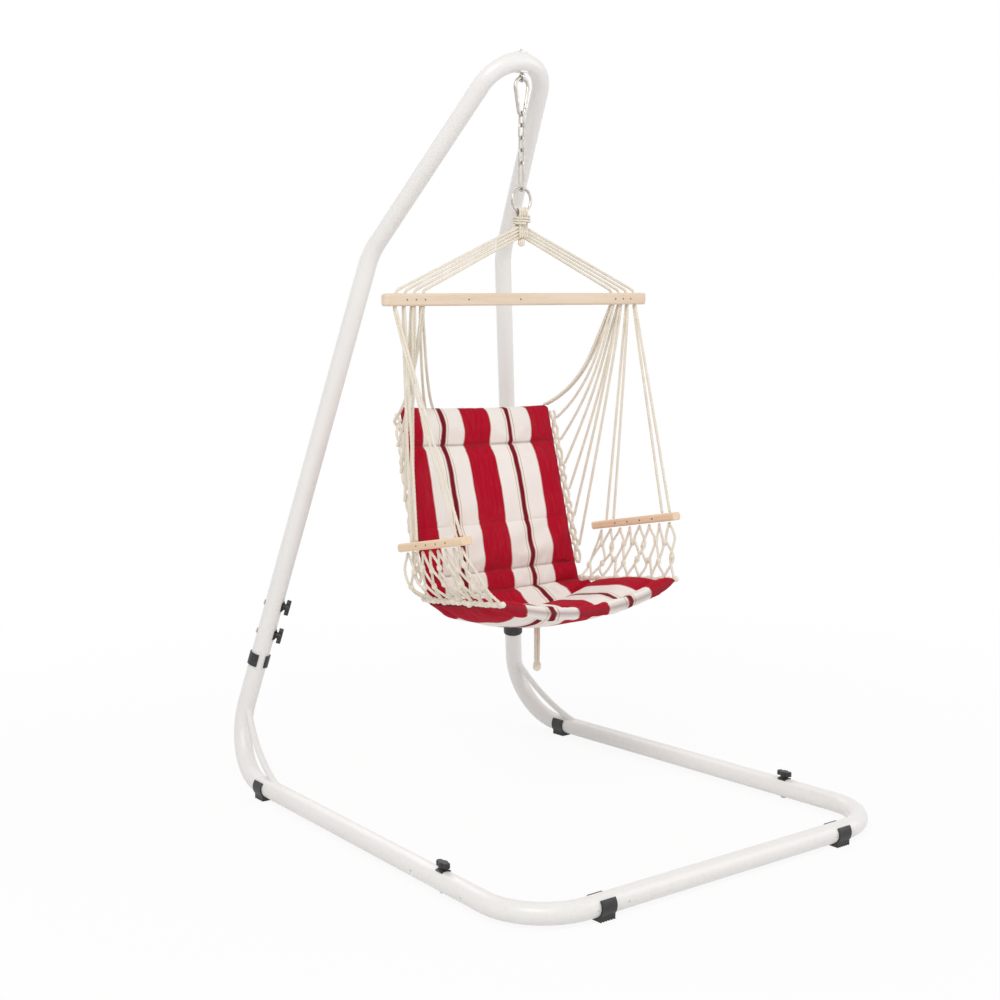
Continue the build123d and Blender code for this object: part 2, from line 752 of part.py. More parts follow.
export_step(rope_eye.part, "parts/rope_eye.step")


def binding_point(quarter):
    """Point of the binding's coil after a number of quarter turns, from its top."""
    angle = quarter * pi / 2
    down = binding_top - binding_pitch * quarter / 4
    return Vector(binding_radius * sin(angle), apex_y - binding_radius * cos(angle), down)


def binding_tangent(quarter):
    """Unit direction of the binding's coil after a number of quarter turns."""
    angle = quarter * pi / 2
    slope = -binding_pitch / (2 * pi)
    return Vector(binding_radius * cos(angle), binding_radius * sin(angle), slope).normalized()


def biarc(start, start_way, end, end_way):
    """Joint point of the two equal-handled arcs that join two directed points smoothly."""
    chord = end - start
    both = start_way + end_way
    a = both.dot(both) - 4
    b = -2 * chord.dot(both)
    c = chord.dot(chord)
    handle = (-b - sqrt(b * b - 4 * a * c)) / (2 * a)
    return (start + end + (start_way - end_way) * handle) * 0.5


# Binding: one cord wound round the legs of the rope eye
with BuildPart() as rope_binding:
    with BuildLine() as route:
        quarters = 4 * binding_turns
        lead = binding_point(0) - binding_tangent(0) * binding_cord
        Line(lead, binding_point(0))
        for quarter in range(quarters):
            here = binding_point(quarter)
            there = binding_point(quarter + 1)
            joint = biarc(here, binding_tangent(quarter), there, binding_tangent(quarter + 1))
            first_arc = TangentArc(here, joint, tangent=binding_tangent(quarter))
            TangentArc(joint, there, tangent=first_arc % 1)
        last = binding_point(quarters)
        Line(last, last + binding_tangent(quarters) * binding_cord)
    with BuildSketch(Plane(origin=route.line @ 0, z_dir=route.line % 0)):
        Circle(binding_cord / 2)
    sweep()
rope_binding.part.label = "rope_binding"
export_step(rope_binding.part, "parts/rope_binding.step")
samples = 24
turn_points = [route.line @ (n / (binding_turns * samples)) for n in range(binding_turns * samples + 1)]
turn_gap = min(
    (turn_points[i] - turn_points[j]).length
    for i in range(len(turn_points))
    for j in range(i + samples // 2, len(turn_points))
)
print("binding least gap to itself", round(turn_gap - binding_cord, 2))

# Head knot: a round knot under the legs of the rope eye
knot_z = legs_bottom - hang_gap - sqrt((head_knot / 2) ** 2 - (loop_radius - eye_cord / 2) ** 2)
with BuildPart() as knot:
    with Locations((0, apex_y, knot_z)):
        Sphere(head_knot / 2)
knot.part.label = "head_knot"
export_step(knot.part, "parts/head_knot.step")

# Spreader bar: round-ended timber with a row of cord holes at each end
bar_z = ring_z - bar_drop
bar_top = bar_z + bar_height / 2
bar_bottom = bar_z - bar_height / 2
with BuildPart() as spreader_bar:
    with BuildSketch(Plane.XY.offset(bar_bottom)):
        with Locations((0, apex_y)):
            RectangleRounded(2 * bar_half_length, bar_depth, bar_end_round)
    extrude(amount=bar_height)
    fillet(spreader_bar.faces().filter_by(Axis.Z).edges(), bar_round)
    with BuildSketch(Plane.XY.offset(bar_z)):
        for name, side in sides:
            for x in bar_holes:
                with Locations((side * x, apex_y)):
                    Circle(cord / 2 + cord_hole_gap)
    extrude(amount=bar_height, both=True, mode=Mode.SUBTRACT)
spreader_bar.part.label = "spreader_bar"
export_step(spreader_bar.part, "parts/spreader_bar.step")

# Nails: flat heads on the bar's front face that pin the cords
with BuildPart() as bar_nails:
    with BuildSketch(Plane(origin=(0, apex_y - bar_depth / 2, bar_z), x_dir=(1, 0, 0), z_dir=(0, -1, 0))):
        with Locations(*[(x, 0) for x in nail_xs]):
            Circle(nail_diameter / 2)
    extrude(amount=nail_height)
bar_nails.part.label = "bar_nails"
export_step(bar_nails.part, "parts/bar_nails.step")

# Bridle: taut cords that leave the rope head one above the other and run down through the bar
bridle_z = knot_z + head_knot / 2 + hang_gap + bridle_pitch / 2
for name, side in sides:
    with BuildPart() as bridle:
        for index, x in enumerate(bar_holes):
            start = Vector(side * bridle_side_offset, apex_y, bridle_z + index * bridle_pitch)
            corner = Vector(side * x, apex_y, bar_top + bar_cord_rise)
            with BuildSketch(Plane(origin=start, z_dir=corner - start)):
                Circle(cord / 2)
            extrude(amount=(corner - start).length)
            with BuildSketch(Plane(origin=corner, z_dir=(0, 0, -1))):
                Circle(cord / 2)
            extrude(amount=bar_cord_rise + bar_height + bar_cord_drop)
            with Locations(corner):
                Sphere(cord / 2)
    bridle.part.label = f"bridle_{name}"
    export_step(bridle.part, f"parts/bridle_{name}.step")

# Pad route: down the back, round the bend and along the seat, in the plane of symmetry
pad_start = Vector(0, apex_y + back_top[0], ring_z - back_top[1])
pad_turn = Vector(0, apex_y + pad_corner[0], ring_z - pad_corner[1])
pad_finish = Vector(0, apex_y + seat_front[0], ring_z - seat_front[1])
pad_bend_points = bend(pad_start, pad_turn, pad_finish, pad_bend)
back_way = (pad_turn - pad_start).normalized()
seat_way = (pad_finish - pad_turn).normalized()
back_run = (pad_bend_points[0] - pad_start).length
bend_angle = radians(back_way.get_angle(seat_way))
bend_run = pad_bend * bend_angle
pad_length = back_run + bend_run + (pad_finish - pad_bend_points[2]).length
front_seam_at = pad_length - front_seam_back


def pad_frame(distance):
    """Plane across the pad at a distance from its top; local Y points at the sitter."""
    if distance <= back_run:
        return Plane(origin=pad_start + back_way * distance, x_dir=(1, 0, 0), z_dir=back_way)
    if distance >= back_run + bend_run:
        origin = pad_finish - seat_way * (pad_length - distance)
        return Plane(origin=origin, x_dir=(1, 0, 0), z_dir=seat_way)
    turned = (distance - back_run) / pad_bend
    way = back_way.rotate(Axis.X, -turned * 180 / pi)
    inward = way.cross(Vector(1, 0, 0))
    hub = pad_bend_points[0] + back_way.cross(Vector(1, 0, 0)) * pad_bend
    return Plane(origin=hub - inward * pad_bend, x_dir=(1, 0, 0), z_dir=way)


def pad_half_width(distance):
    """Half width of the pad: straight sides on the back, flaring along the seat."""
    if distance <= back_run:
        return top_half_width + (junction_half_width - top_half_width) * distance / back_run
    share = max(0, distance - back_run - bend_run) / (pad_length - back_run - bend_run)
    return junction_half_width + (front_half_seat - junction_half_width) * share


def pad_sag(distance):
    """How far the pad's edges stand towards the sitter from its middle, deepest where the seat begins."""
    if distance <= back_run:
        return top_sag + (back_sag - top_sag) * distance / back_run
    share = (distance - back_run) / bend_run
    if share <= 1:
        return back_sag + (seat_sag - back_sag) * sin(pi / 2 * min(1, 2 * share))
    share = (distance - back_run - bend_run) / (pad_length - back_run - bend_run)
    return seat_sag + (front_sag - seat_sag) * share


def pad_side(side, distance, out=0.0, up=0.0):
    """Point beside the pad's edge, moved outwards and towards the sitter."""
    frame = pad_frame(distance)
    return frame.from_local_coords(
        Vector(side * (pad_half_width(distance) + out), pad_sag(distance) + up, 0)
    )


# Pad: one quilted panel, full between its sewn seams and drawn in at each of them
pad_seams = (
    0.0,
    head_seam_at,
    lumbar_seam_at,
    loin_seam_at,
    back_run,
    back_run + bend_run,
    front_seam_at,
    pad_length,
)
pad_stations = [(0.0, pad_edge)]
for first_seam, next_seam in zip(pad_seams, pad_seams[1:]):
    width = next_seam - first_seam
    full = back_full if next_seam <= back_run else seat_full
    crown = (full - pad_seam) * min(1.0, width / pad_crown_width)
    for share in (0.25, 0.5, 0.75):
        pad_stations.append((first_seam + width * share, pad_seam + crown * sin(pi * share)))
    pad_stations.append((next_seam, pad_seam))
pad_stations[-1] = (pad_length, pad_edge)
with BuildPart() as seat_pad:
    for distance, thickness in pad_stations:
        half = pad_half_width(distance)
        high = pad_sag(distance) + pad_edge / 2
        low = pad_sag(distance) - pad_edge / 2
        with BuildSketch(pad_frame(distance)):
            with BuildLine():
                ThreePointArc((-half, high), (0, thickness / 2), (half, high))
                Line((half, high), (half, low))
                ThreePointArc((half, low), (0, -thickness / 2), (-half, low))
                Line((-half, low), (-half, high))
            make_face()
    loft()
seat_pad.part.label = "seat_pad"
export_step(seat_pad.part, "parts/seat_pad.step")

# Edge nets: knotted strips down both sides of the back, each one face with a row of gaps
for name, side in sides:
    top = pad_side(side, edge_net_end, out=edge_net_gap)
    bottom = pad_side(side, back_run - edge_net_foot, out=edge_net_gap)
    down = (bottom - top).normalized()
    out = Vector(side, 0, 0)
    out = (out - down * out.dot(down)).normalized()
    strip_length = (bottom - top).length
    slot_pitch = strip_length / edge_net_slots
    with BuildPart() as edge_net:
        with BuildSketch(Plane(origin=top, x_dir=out, z_dir=out.cross(down))):
            with Locations((edge_net_width / 2, strip_length / 2)):
                Rectangle(edge_net_width, strip_length)
                with GridLocations(1, slot_pitch, 1, edge_net_slots):
                    slot_length = slot_pitch * edge_net_slot_share
                    SlotOverall(slot_length, edge_net_slot_width, rotation=90, mode=Mode.SUBTRACT)
        extrude(amount=edge_net_thickness / 2, both=True)
    edge_net.part.label = f"edge_net_{name}"
    export_step(edge_net.part, f"parts/edge_net_{name}.step")

# Hems: the cord along each side of the seat that the armrest's net is knotted to
hem_start = back_run
for name, side in sides:
    with BuildPart() as hem:
        first = pad_side(side, hem_start, hem_gap + hem_cord / 2, hem_rise)
        last = pad_side(side, pad_length, hem_gap + hem_cord / 2, hem_rise)
        with BuildSketch(Plane(origin=first, z_dir=last - first)):
            Circle(hem_cord / 2)
        extrude(amount=(last - first).length)
    hem.part.label = f"hem_{name}"
    export_step(hem.part, f"parts/hem_{name}.step")


def armrest_end(side, place):
    """Centre of one end of an armrest."""
    return Vector(side * place[0], apex_y + place[1], ring_z - place[2])


# Armrests: a short rounded slat on each side
for name, side in sides:
    rear = armrest_end(side, armrest_rear)
    front = armrest_end(side, armrest_front)
    along = (front - rear).normalized()
    flat = along.cross(Vector(0, 0, 1)).normalized()
    with BuildPart() as armrest:
        with BuildSketch(Plane(origin=rear, x_dir=flat, z_dir=along)):
            RectangleRounded(armrest_width, armrest_height, armrest_round)
        extrude(amount=(front - rear).length)
        fillet(armrest.faces().filter_by(Plane(origin=(0, 0, 0), z_dir=along)).edges(), armrest_round / 2)
    armrest.part.label = f"armrest_{name}"
    export_step(armrest.part, f"parts/armrest_{name}.step")

# Armrest nets: a flat diamond net between each armrest and the hem of the seat
for name, side in sides:
    rear = armrest_end(side, armrest_rear)
    front = armrest_end(side, armrest_front)
    along = (front - rear).normalized()
    flat = along.cross(Vector(0, 0, 1)).normalized()
    under = along.cross(flat)
    under = under if under.Z < 0 else -under
    hem_first = pad_side(side, hem_start, hem_gap + hem_cord / 2, hem_rise)
    hem_last = pad_side(side, pad_length, hem_gap + hem_cord / 2, hem_rise)
    hem_middle = (hem_first + hem_last) * 0.5
    net_origin = rear + under * (armrest_height / 2 + net_gap)
    down = hem_middle - net_origin
    down = (down - along * down.dot(along)).normalized()
    net_plane = Plane(origin=net_origin, x_dir=along, z_dir=along.cross(down))
    lift = hem_cord / 2 + net_thickness / 2 + net_gap
    low_first = net_plane.to_local_coords(hem_first)
    low_last = net_plane.to_local_coords(hem_last)
    low_way = Vector(low_last.X - low_first.X, low_last.Y - low_first.Y).normalized()
    up_way = Vector(low_way.Y, -low_way.X)
    low_first = Vector(low_first.X, low_first.Y) + up_way * lift + low_way * net_border
    low_last = Vector(low_last.X, low_last.Y) + up_way * lift - low_way * net_border
    net_top = net_thickness / 2 * tan(radians(down.get_angle(under)))
    high_first = Vector(armrest_round, net_top)
    high_last = Vector((front - rear).length - armrest_round, net_top)

    def net_point(u, v, first=high_first, last=high_last, low_one=low_first, low_two=low_last):
        """Point of the net from shares along it and down it."""
        high = first + (last - first) * u
        low = low_one + (low_two - low_one) * u
        return high + (low - high) * v

    with BuildPart() as arm_net:
        with BuildSketch(net_plane):
            with BuildLine():
                corners = [net_point(u, v) for u, v in ((0, 0), (1, 0), (1, 1), (0, 1))]
                Polyline(*[(p.X, p.Y) for p in corners], close=True)
            make_face()
            column = (high_last - high_first).length / net_columns
            drop = (low_first - high_first).length / net_rows
            half_u = 0.5 / net_columns * (1 - net_strand / column)
            half_v = 0.5 / net_rows * (2 - net_strand / drop)
            for row in range(1, 2 * net_rows - 1):
                shift = 0.5 * (row % 2)
                for place in range(net_columns - (row % 2)):
                    u = (place + 0.5 + shift) / net_columns
                    v = 0.5 * (row + 0.5) / net_rows
                    rise = half_v / 2
                    shares = ((u - half_u, v), (u, v - rise), (u + half_u, v), (u, v + rise))
                    with BuildLine():
                        gap_points = [net_point(a, b) for a, b in shares]
                        Polyline(*[(p.X, p.Y) for p in gap_points], close=True)
                    make_face(mode=Mode.SUBTRACT)
        extrude(amount=net_thickness / 2, both=True)
    arm_net.part.label = f"arm_net_{name}"
    export_step(arm_net.part, f"parts/arm_net_{name}.step")

# Arm cords: taut pairs from the two outer holes of the bar to each armrest
cord_start_z = bar_bottom - bar_cord_drop


def cleared(point, way, face_normal):
    """End of a cord, moved along it until its end face clears the face it comes from."""
    square = abs(way.dot(face_normal))
    return point + way * ((cord / 2 * sqrt(1 - square**2) + cord_end_gap) / square)


for name, side in sides:
    rear = armrest_end(side, armrest_rear)
    front = armrest_end(side, armrest_front)
    along = (front - rear).normalized()
    above = along.cross(Vector(1, 0, 0))
    above = above if above.Z > 0 else -above
    with BuildPart() as arm_cords:
        for share, x in ((rear_cord_share, bar_holes[2]), (front_cord_share, bar_holes[3])):
            seat = rear + (front - rear) * share + above * (armrest_height / 2)
            for sense in (-1, 1):
                start = Vector(side * x, apex_y + sense * pair_pitch / 2, cord_start_z)
                end = seat + along * (-sense * arm_tie_pitch / 2)
                way = (end - start).normalized()
                start = cleared(start, way, Vector(0, 0, 1))
                end = cleared(end, -way, above)
                with BuildSketch(Plane(origin=start, z_dir=way)):
                    Circle(cord / 2)
                extrude(amount=(end - start).length)
    arm_cords.part.label = f"arm_cords_{name}"
    export_step(arm_cords.part, f"parts/arm_cords_{name}.step")

# Back cords: four from each inner hole of the bar, two to the pad's top and six to its edge net
for name, side in sides:
    with BuildPart() as back_cords:
        starts = []
        for x in bar_holes[:2]:
            for row in (1, -1):
                for across in (-1, 1):
                    offset = Vector(side * (x + across * pair_pitch / 2), apex_y + row * pair_pitch / 2)
                    starts.append(offset + Vector(0, 0, cord_start_z))
        ends = []
        for inset in (top_tie_insets[name] + top_tie_pitch, top_tie_insets[name]):
            x = top_half_width - inset
            spot = Vector(side * x, top_sag * (x / top_half_width) ** 2, 0)
            ends.append(pad_frame(0).from_local_coords(spot) - back_way * (cord / 2 + cord_end_gap))
        for distance in side_tie_sets:
            out = edge_net_gap + edge_net_width + cord_end_gap + cord / 2
            ends.append(pad_side(side, distance, out))
        for start, end, sag in zip(starts, ends, back_cord_sags):
            dip = (start + end) * 0.5 - Vector(0, 0, sag)
            with BuildLine() as route:
                hung = ThreePointArc(start, dip, end, mode=Mode.PRIVATE)
                start = cleared(start, hung % 0, Vector(0, 0, 1))
                ThreePointArc(start, dip, end)
            with BuildSketch(Plane(origin=route.line @ 0, z_dir=route.line % 0)):
                Circle(cord / 2)
            sweep(path=route.line)
    back_cords.part.label = f"back_cords_{name}"
    export_step(back_cords.part, f"parts/back_cords_{name}.step")

# Tail: two strands knotted together, sewn to the underside of the seat
tail_line = Axis((0, apex_y + tail_y, 0), (0, 0, 1))
tail_top = min(point.Z for point, normal in seat_pad.part.find_intersection_points(tail_line)) - tail_gap
tail_bottom = ring_z - tail_drop
strand_bottom = tail_bottom + tail_knot / 2 + hang_gap
with BuildPart() as tail_cord:
    for sense in (-1, 1):
        foot = (sense * tail_pitch / 2, apex_y + tail_y, strand_bottom)
        with BuildSketch(Plane(origin=foot, z_dir=(0, 0, 1))):
            Circle(tail_strand / 2)
        extrude(amount=tail_top - strand_bottom)
    with Locations((0, apex_y + tail_y, tail_bottom)):
        Sphere(tail_knot / 2)
tail_cord.part.label = "tail_cord"
export_step(tail_cord.part, "parts/tail_cord.step")

print("eye centre", round(eye_z, 2), "hook pivot", round(hook_top_z, 2))
print("ring centre", round(ring_z, 2), "binding", round(binding_top, 1), round(binding_bottom, 1))
print("pad length", round(pad_length, 1), "gate pivot", pivot_plane.origin)
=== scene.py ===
"""Looks of the hammock chair on its bent-tube stand. Metres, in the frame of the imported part."""

import math

import bpy
import numpy as np
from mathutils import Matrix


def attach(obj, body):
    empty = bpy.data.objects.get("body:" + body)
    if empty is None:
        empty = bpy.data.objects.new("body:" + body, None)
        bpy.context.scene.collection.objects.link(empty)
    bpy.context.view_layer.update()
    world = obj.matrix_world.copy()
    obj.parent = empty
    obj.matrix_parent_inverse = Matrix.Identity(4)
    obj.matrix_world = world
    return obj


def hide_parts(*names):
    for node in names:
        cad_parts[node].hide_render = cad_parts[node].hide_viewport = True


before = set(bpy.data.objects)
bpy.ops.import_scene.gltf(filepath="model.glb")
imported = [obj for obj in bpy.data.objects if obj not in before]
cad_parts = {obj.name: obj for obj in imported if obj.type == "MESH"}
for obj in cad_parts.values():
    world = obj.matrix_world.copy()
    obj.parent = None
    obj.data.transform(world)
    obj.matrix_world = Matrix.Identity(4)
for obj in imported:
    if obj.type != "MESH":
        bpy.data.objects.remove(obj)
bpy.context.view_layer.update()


# Stand tubes: bent round steel tube, powder coated a warm white after welding. The coat has a fine
# orange peel, is a little duller in patches, and is greyer low down where the lawn splashes it.
def start_material(name):
    """New material with a shader and Object coordinates; returns it, its tree, shader and vector."""
    made = bpy.data.materials.new(name)
    made.use_nodes = True
    tree = made.node_tree
    shader = tree.nodes["Principled BSDF"]
    place = tree.nodes.new("ShaderNodeTexCoord").outputs["Object"]
    return made, tree, shader, place


def add_noise(tree, vector, scale, detail=3.0, rough=0.5, stretch=(1.0, 1.0, 1.0)):
    """Noise in a vector stretched by a Mapping node; returns its factor."""
    mapping = tree.nodes.new("ShaderNodeMapping")
    mapping.inputs["Scale"].default_value = stretch
    tree.links.new(vector, mapping.inputs["Vector"])
    noise = tree.nodes.new("ShaderNodeTexNoise")
    noise.inputs["Scale"].default_value = scale
    noise.inputs["Detail"].default_value = detail
    noise.inputs["Roughness"].default_value = rough
    tree.links.new(mapping.outputs["Vector"], noise.inputs["Vector"])
    return noise.outputs["Fac"]


def add_range(tree, value, low, high, to_low, to_high):
    """Value carried from one range to another, clamped."""
    node = tree.nodes.new("ShaderNodeMapRange")
    for key, number in zip(("From Min", "From Max", "To Min", "To Max"), (low, high, to_low, to_high)):
        node.inputs[key].default_value = number
    tree.links.new(value, node.inputs["Value"])
    return node.outputs["Result"]


def add_math(tree, kind, one, two):
    """Math node of two values, either of them a number or a socket."""
    node = tree.nodes.new("ShaderNodeMath")
    node.operation = kind
    for socket, value in zip(node.inputs, (one, two)):
        if isinstance(value, (int, float)):
            socket.default_value = value
        else:
            tree.links.new(value, socket)
    return node.outputs["Value"]


def add_mix(tree, factor, one, two):
    """Colour between two, each a colour or a socket, by a factor."""
    node = tree.nodes.new("ShaderNodeMix")
    node.data_type = "RGBA"
    if isinstance(factor, (int, float)):
        node.inputs["Factor"].default_value = factor
    else:
        tree.links.new(factor, node.inputs["Factor"])
    for key, value in (("A", one), ("B", two)):
        socket = [s for s in node.inputs if s.name == key and s.type == "RGBA"][0]
        if isinstance(value, tuple):
            socket.default_value = (*value, 1.0)
        else:
            tree.links.new(value, socket)
    return [s for s in node.outputs if s.type == "RGBA"][0]


def add_bump(tree, shader, height, distance, strength=1.0):
    """Bump of a height socket on the shader's normal."""
    node = tree.nodes.new("ShaderNodeBump")
    node.inputs["Distance"].default_value = distance
    node.inputs["Strength"].default_value = strength
    tree.links.new(height, node.inputs["Height"])
    tree.links.new(node.outputs["Normal"], shader.inputs["Normal"])
    return node


def dress(material, *names):
    """Puts a material in the only slot of each named CAD node."""
    for name in names:
        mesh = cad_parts[name].data
        mesh.materials.clear()
        mesh.materials.append(material)


powder_coat, tree, shader, place = start_material("powder_coat")
height = tree.nodes.new("ShaderNodeSeparateXYZ")
tree.links.new(place, height.inputs["Vector"])
low_down = add_range(tree, height.outputs["Z"], 0.0, 0.35, 1.0, 0.0)
weather = add_noise(tree, place, 4.0, 3.0, 0.5)
blotch = add_range(tree, weather, 0.35, 0.7, 0.0, 0.5)
splash = add_noise(tree, place, 90.0, 4.0, 0.6)
splash = add_math(tree, "MULTIPLY", add_range(tree, splash, 0.5, 0.8, 0.0, 0.22), low_down)
coat_colour = add_mix(tree, blotch, (0.862, 0.848, 0.832), (0.832, 0.816, 0.797))
coat_colour = add_mix(tree, splash, coat_colour, (0.62, 0.59, 0.54))
tree.links.new(coat_colour, shader.inputs["Base Color"])
tree.links.new(add_range(tree, weather, 0.35, 0.7, 0.3, 0.42), shader.inputs["Roughness"])
shader.inputs["Coat Weight"].default_value = 0.25
shader.inputs["Coat Roughness"].default_value = 0.22
add_bump(tree, shader, add_noise(tree, place, 420.0, 2.0), 0.0001, 0.05)
dress(
    powder_coat,
    "eye_saddles",
    "base_front_tube",
    "base_left_tube",
    "base_right_tube",
    "arm_left_tube",
    "arm_right_tube",
    "brace_left",
    "brace_right",
)

# Clips, collars, saddles and wing knobs: black moulded polypropylene, snapped or bolted on.
# The mould leaves a fine grain, and the plastic goes grey in patches where hands and grass rub it.
moulded_black, tree, shader, place = start_material("moulded_black")
rub = add_noise(tree, place, 60.0, 5.0, 0.65)
grain = add_noise(tree, place, 1500.0, 2.0)
rubbed = add_range(tree, rub, 0.5, 0.8, 0.0, 0.7)
black_colour = add_mix(tree, rubbed, (0.018, 0.018, 0.02), (0.07, 0.07, 0.072))
tree.links.new(black_colour, shader.inputs["Base Color"])
tree.links.new(add_range(tree, rub, 0.3, 0.7, 0.36, 0.58), shader.inputs["Roughness"])
add_bump(tree, shader, grain, 0.0002, 0.35)
dress(moulded_black, "feet", "collars", "saddles", "rail_knob_left", "rail_knob_right")
dress(moulded_black, "upright_knob_left_lower", "upright_knob_left_upper")
dress(moulded_black, "upright_knob_right_lower", "upright_knob_right_upper")

# Bolts, eye, snap hook, chain and ring: steel wire and rod, bright zinc plated.
# The plate is lightly mottled, with drawn lines along the wire and a duller bloom in places.
zinc_plate, tree, shader, place = start_material("zinc_plate")
bloom = add_noise(tree, place, 85.0, 5.0, 0.6)
drawn = add_noise(tree, place, 900.0, 2.0, 0.5, (1.0, 1.0, 0.12))
dulled = add_range(tree, bloom, 0.4, 0.72, 0.0, 1.0)
zinc_colour = add_mix(tree, dulled, (0.6, 0.57, 0.53), (0.44, 0.41, 0.375))
tree.links.new(zinc_colour, shader.inputs["Base Color"])
shader.inputs["Metallic"].default_value = 0.9
tree.links.new(add_range(tree, bloom, 0.35, 0.75, 0.26, 0.46), shader.inputs["Roughness"])
add_bump(tree, shader, drawn, 0.0002, 0.3)
dress(zinc_plate, "rail_bolts", "upright_bolts", "rivets", "eye_bolt", "eye_nut")
dress(zinc_plate, "hook_body", "hook_gate", "hook_pin", "long_link", "ring")
dress(zinc_plate, "chain_link_1", "chain_link_2", "chain_link_3", "chain_link_4")

# Nails: plain steel wire nails driven into the bar's face, their heads left to go brown.
# The heads are dull, darker in patches where the damp sits.
nail_steel, tree, shader, place = start_material("nail_steel")
rust = add_noise(tree, place, 700.0, 4.0, 0.6)
browned = add_range(tree, rust, 0.4, 0.7, 0.0, 1.0)
nail_colour = add_mix(tree, browned, (0.17, 0.13, 0.1), (0.09, 0.06, 0.045))
tree.links.new(nail_colour, shader.inputs["Base Color"])
shader.inputs["Metallic"].default_value = 0.5
tree.links.new(add_range(tree, rust, 0.3, 0.7, 0.5, 0.75), shader.inputs["Roughness"])
add_bump(tree, shader, rust, 0.0002, 0.4)
dress(nail_steel, "bar_nails")


# Cord: soft three-strand cotton, 6 to 9 mm, undyed. Every cord of the chair is made of it.
# The strands show as a slow twist, the fibres as a fine fuzz across them.
def cord_line(points):
    """Points read along the smooth line of a route: a third-order NURBS on its control points."""
    curve = bpy.data.curves.new("cord_line", "CURVE")
    curve.dimensions = "3D"
    curve.resolution_u = 14
    spline = curve.splines.new("NURBS")
    spline.points.add(len(points) - 1)
    spline.points.foreach_set("co", np.c_[np.asarray(points, float), np.ones(len(points))].ravel())
    spline.order_u = 3
    spline.use_endpoint_u = True
    holder = bpy.data.objects.new("cord_line", curve)
    mesh = bpy.data.meshes.new_from_object(holder)
    line = np.empty(3 * len(mesh.vertices))
    mesh.vertices.foreach_get("co", line)
    bpy.data.meshes.remove(mesh)
    bpy.data.objects.remove(holder)
    bpy.data.curves.remove(curve)
    return line.reshape(-1, 3)


def even_line(line, step):
    """A polyline resampled by linear interpolation at even steps along its length."""
    run = np.r_[0.0, np.cumsum(np.linalg.norm(np.diff(line, axis=0), axis=1))]
    count = max(3, int(round(run[-1] / step)) + 1)
    at = np.linspace(0.0, run[-1], count)
    return np.stack([np.interp(at, run, line[:, k]) for k in range(3)], axis=1)


def rope_tube(line, diameter, lay=0.034, around=12, step=0.0028, taper=0.35):
    """Twisted cord along a line, as vertices, quads and places.

    A cross-section is a circle with three lobes, its radius falling by an eighth between strands
    and reaching the full size on them.
    It is carried along the line on frames made by projecting one fixed vector square to each
    tangent, and is turned once in each lay. The end rings shrink by the taper and fans close them.
    """
    path = even_line(np.asarray(line, float), step)
    tangent = np.gradient(path, axis=0)
    tangent /= np.linalg.norm(tangent, axis=1, keepdims=True)
    span = np.abs(path[-1] - path[0]) + 1e-9
    fixed = np.eye(3)[np.argmin(span)]
    side = fixed - tangent * (tangent @ fixed)[:, None]
    side /= np.linalg.norm(side, axis=1, keepdims=True)
    up = np.cross(tangent, side)
    run = np.r_[0.0, np.cumsum(np.linalg.norm(np.diff(path, axis=0), axis=1))]
    angle = np.linspace(0.0, 2 * np.pi, around, endpoint=False)
    turn = 2 * np.pi * run / lay
    lobe = 1.0 - 0.0625 * (1 - np.cos(3 * angle))
    radius = diameter / 2 * np.repeat(lobe[None], len(path), axis=0)
    shrink = np.ones(len(path))
    shrink[0] = shrink[-1] = taper
    radius = radius * shrink[:, None]
    spin = angle[None] + turn[:, None]
    ring = (
        path[:, None]
        + radius[..., None] * np.cos(spin)[..., None] * side[:, None]
        + radius[..., None] * np.sin(spin)[..., None] * up[:, None]
    )
    rows, columns = ring.shape[:2]
    index = np.arange(rows * columns).reshape(rows, columns)
    across = np.roll(index, -1, axis=1)
    quads = np.stack([index[:-1], across[:-1], across[1:], index[1:]], axis=-1).reshape(-1, 4)
    fan_a = np.stack([index[0], np.full(columns, rows * columns), across[0]], axis=-1)
    fan_b = np.stack([across[-1], np.full(columns, rows * columns + 1), index[-1]], axis=-1)
    vertices = np.r_[ring.reshape(-1, 3), path[:1], path[-1:]]
    strand = np.repeat((angle / (2 * np.pi) * 3)[None], rows, axis=0)
    along = np.repeat((run / diameter)[:, None], columns, axis=1)
    places = np.stack([strand.ravel(), along.ravel(), np.zeros(rows * columns)], axis=1)
    places = np.r_[places, [[0.0, 0.0, 0.0]], [[0.0, run[-1] / diameter, 0.0]]]
    return vertices, quads, np.r_[fan_a, fan_b], places


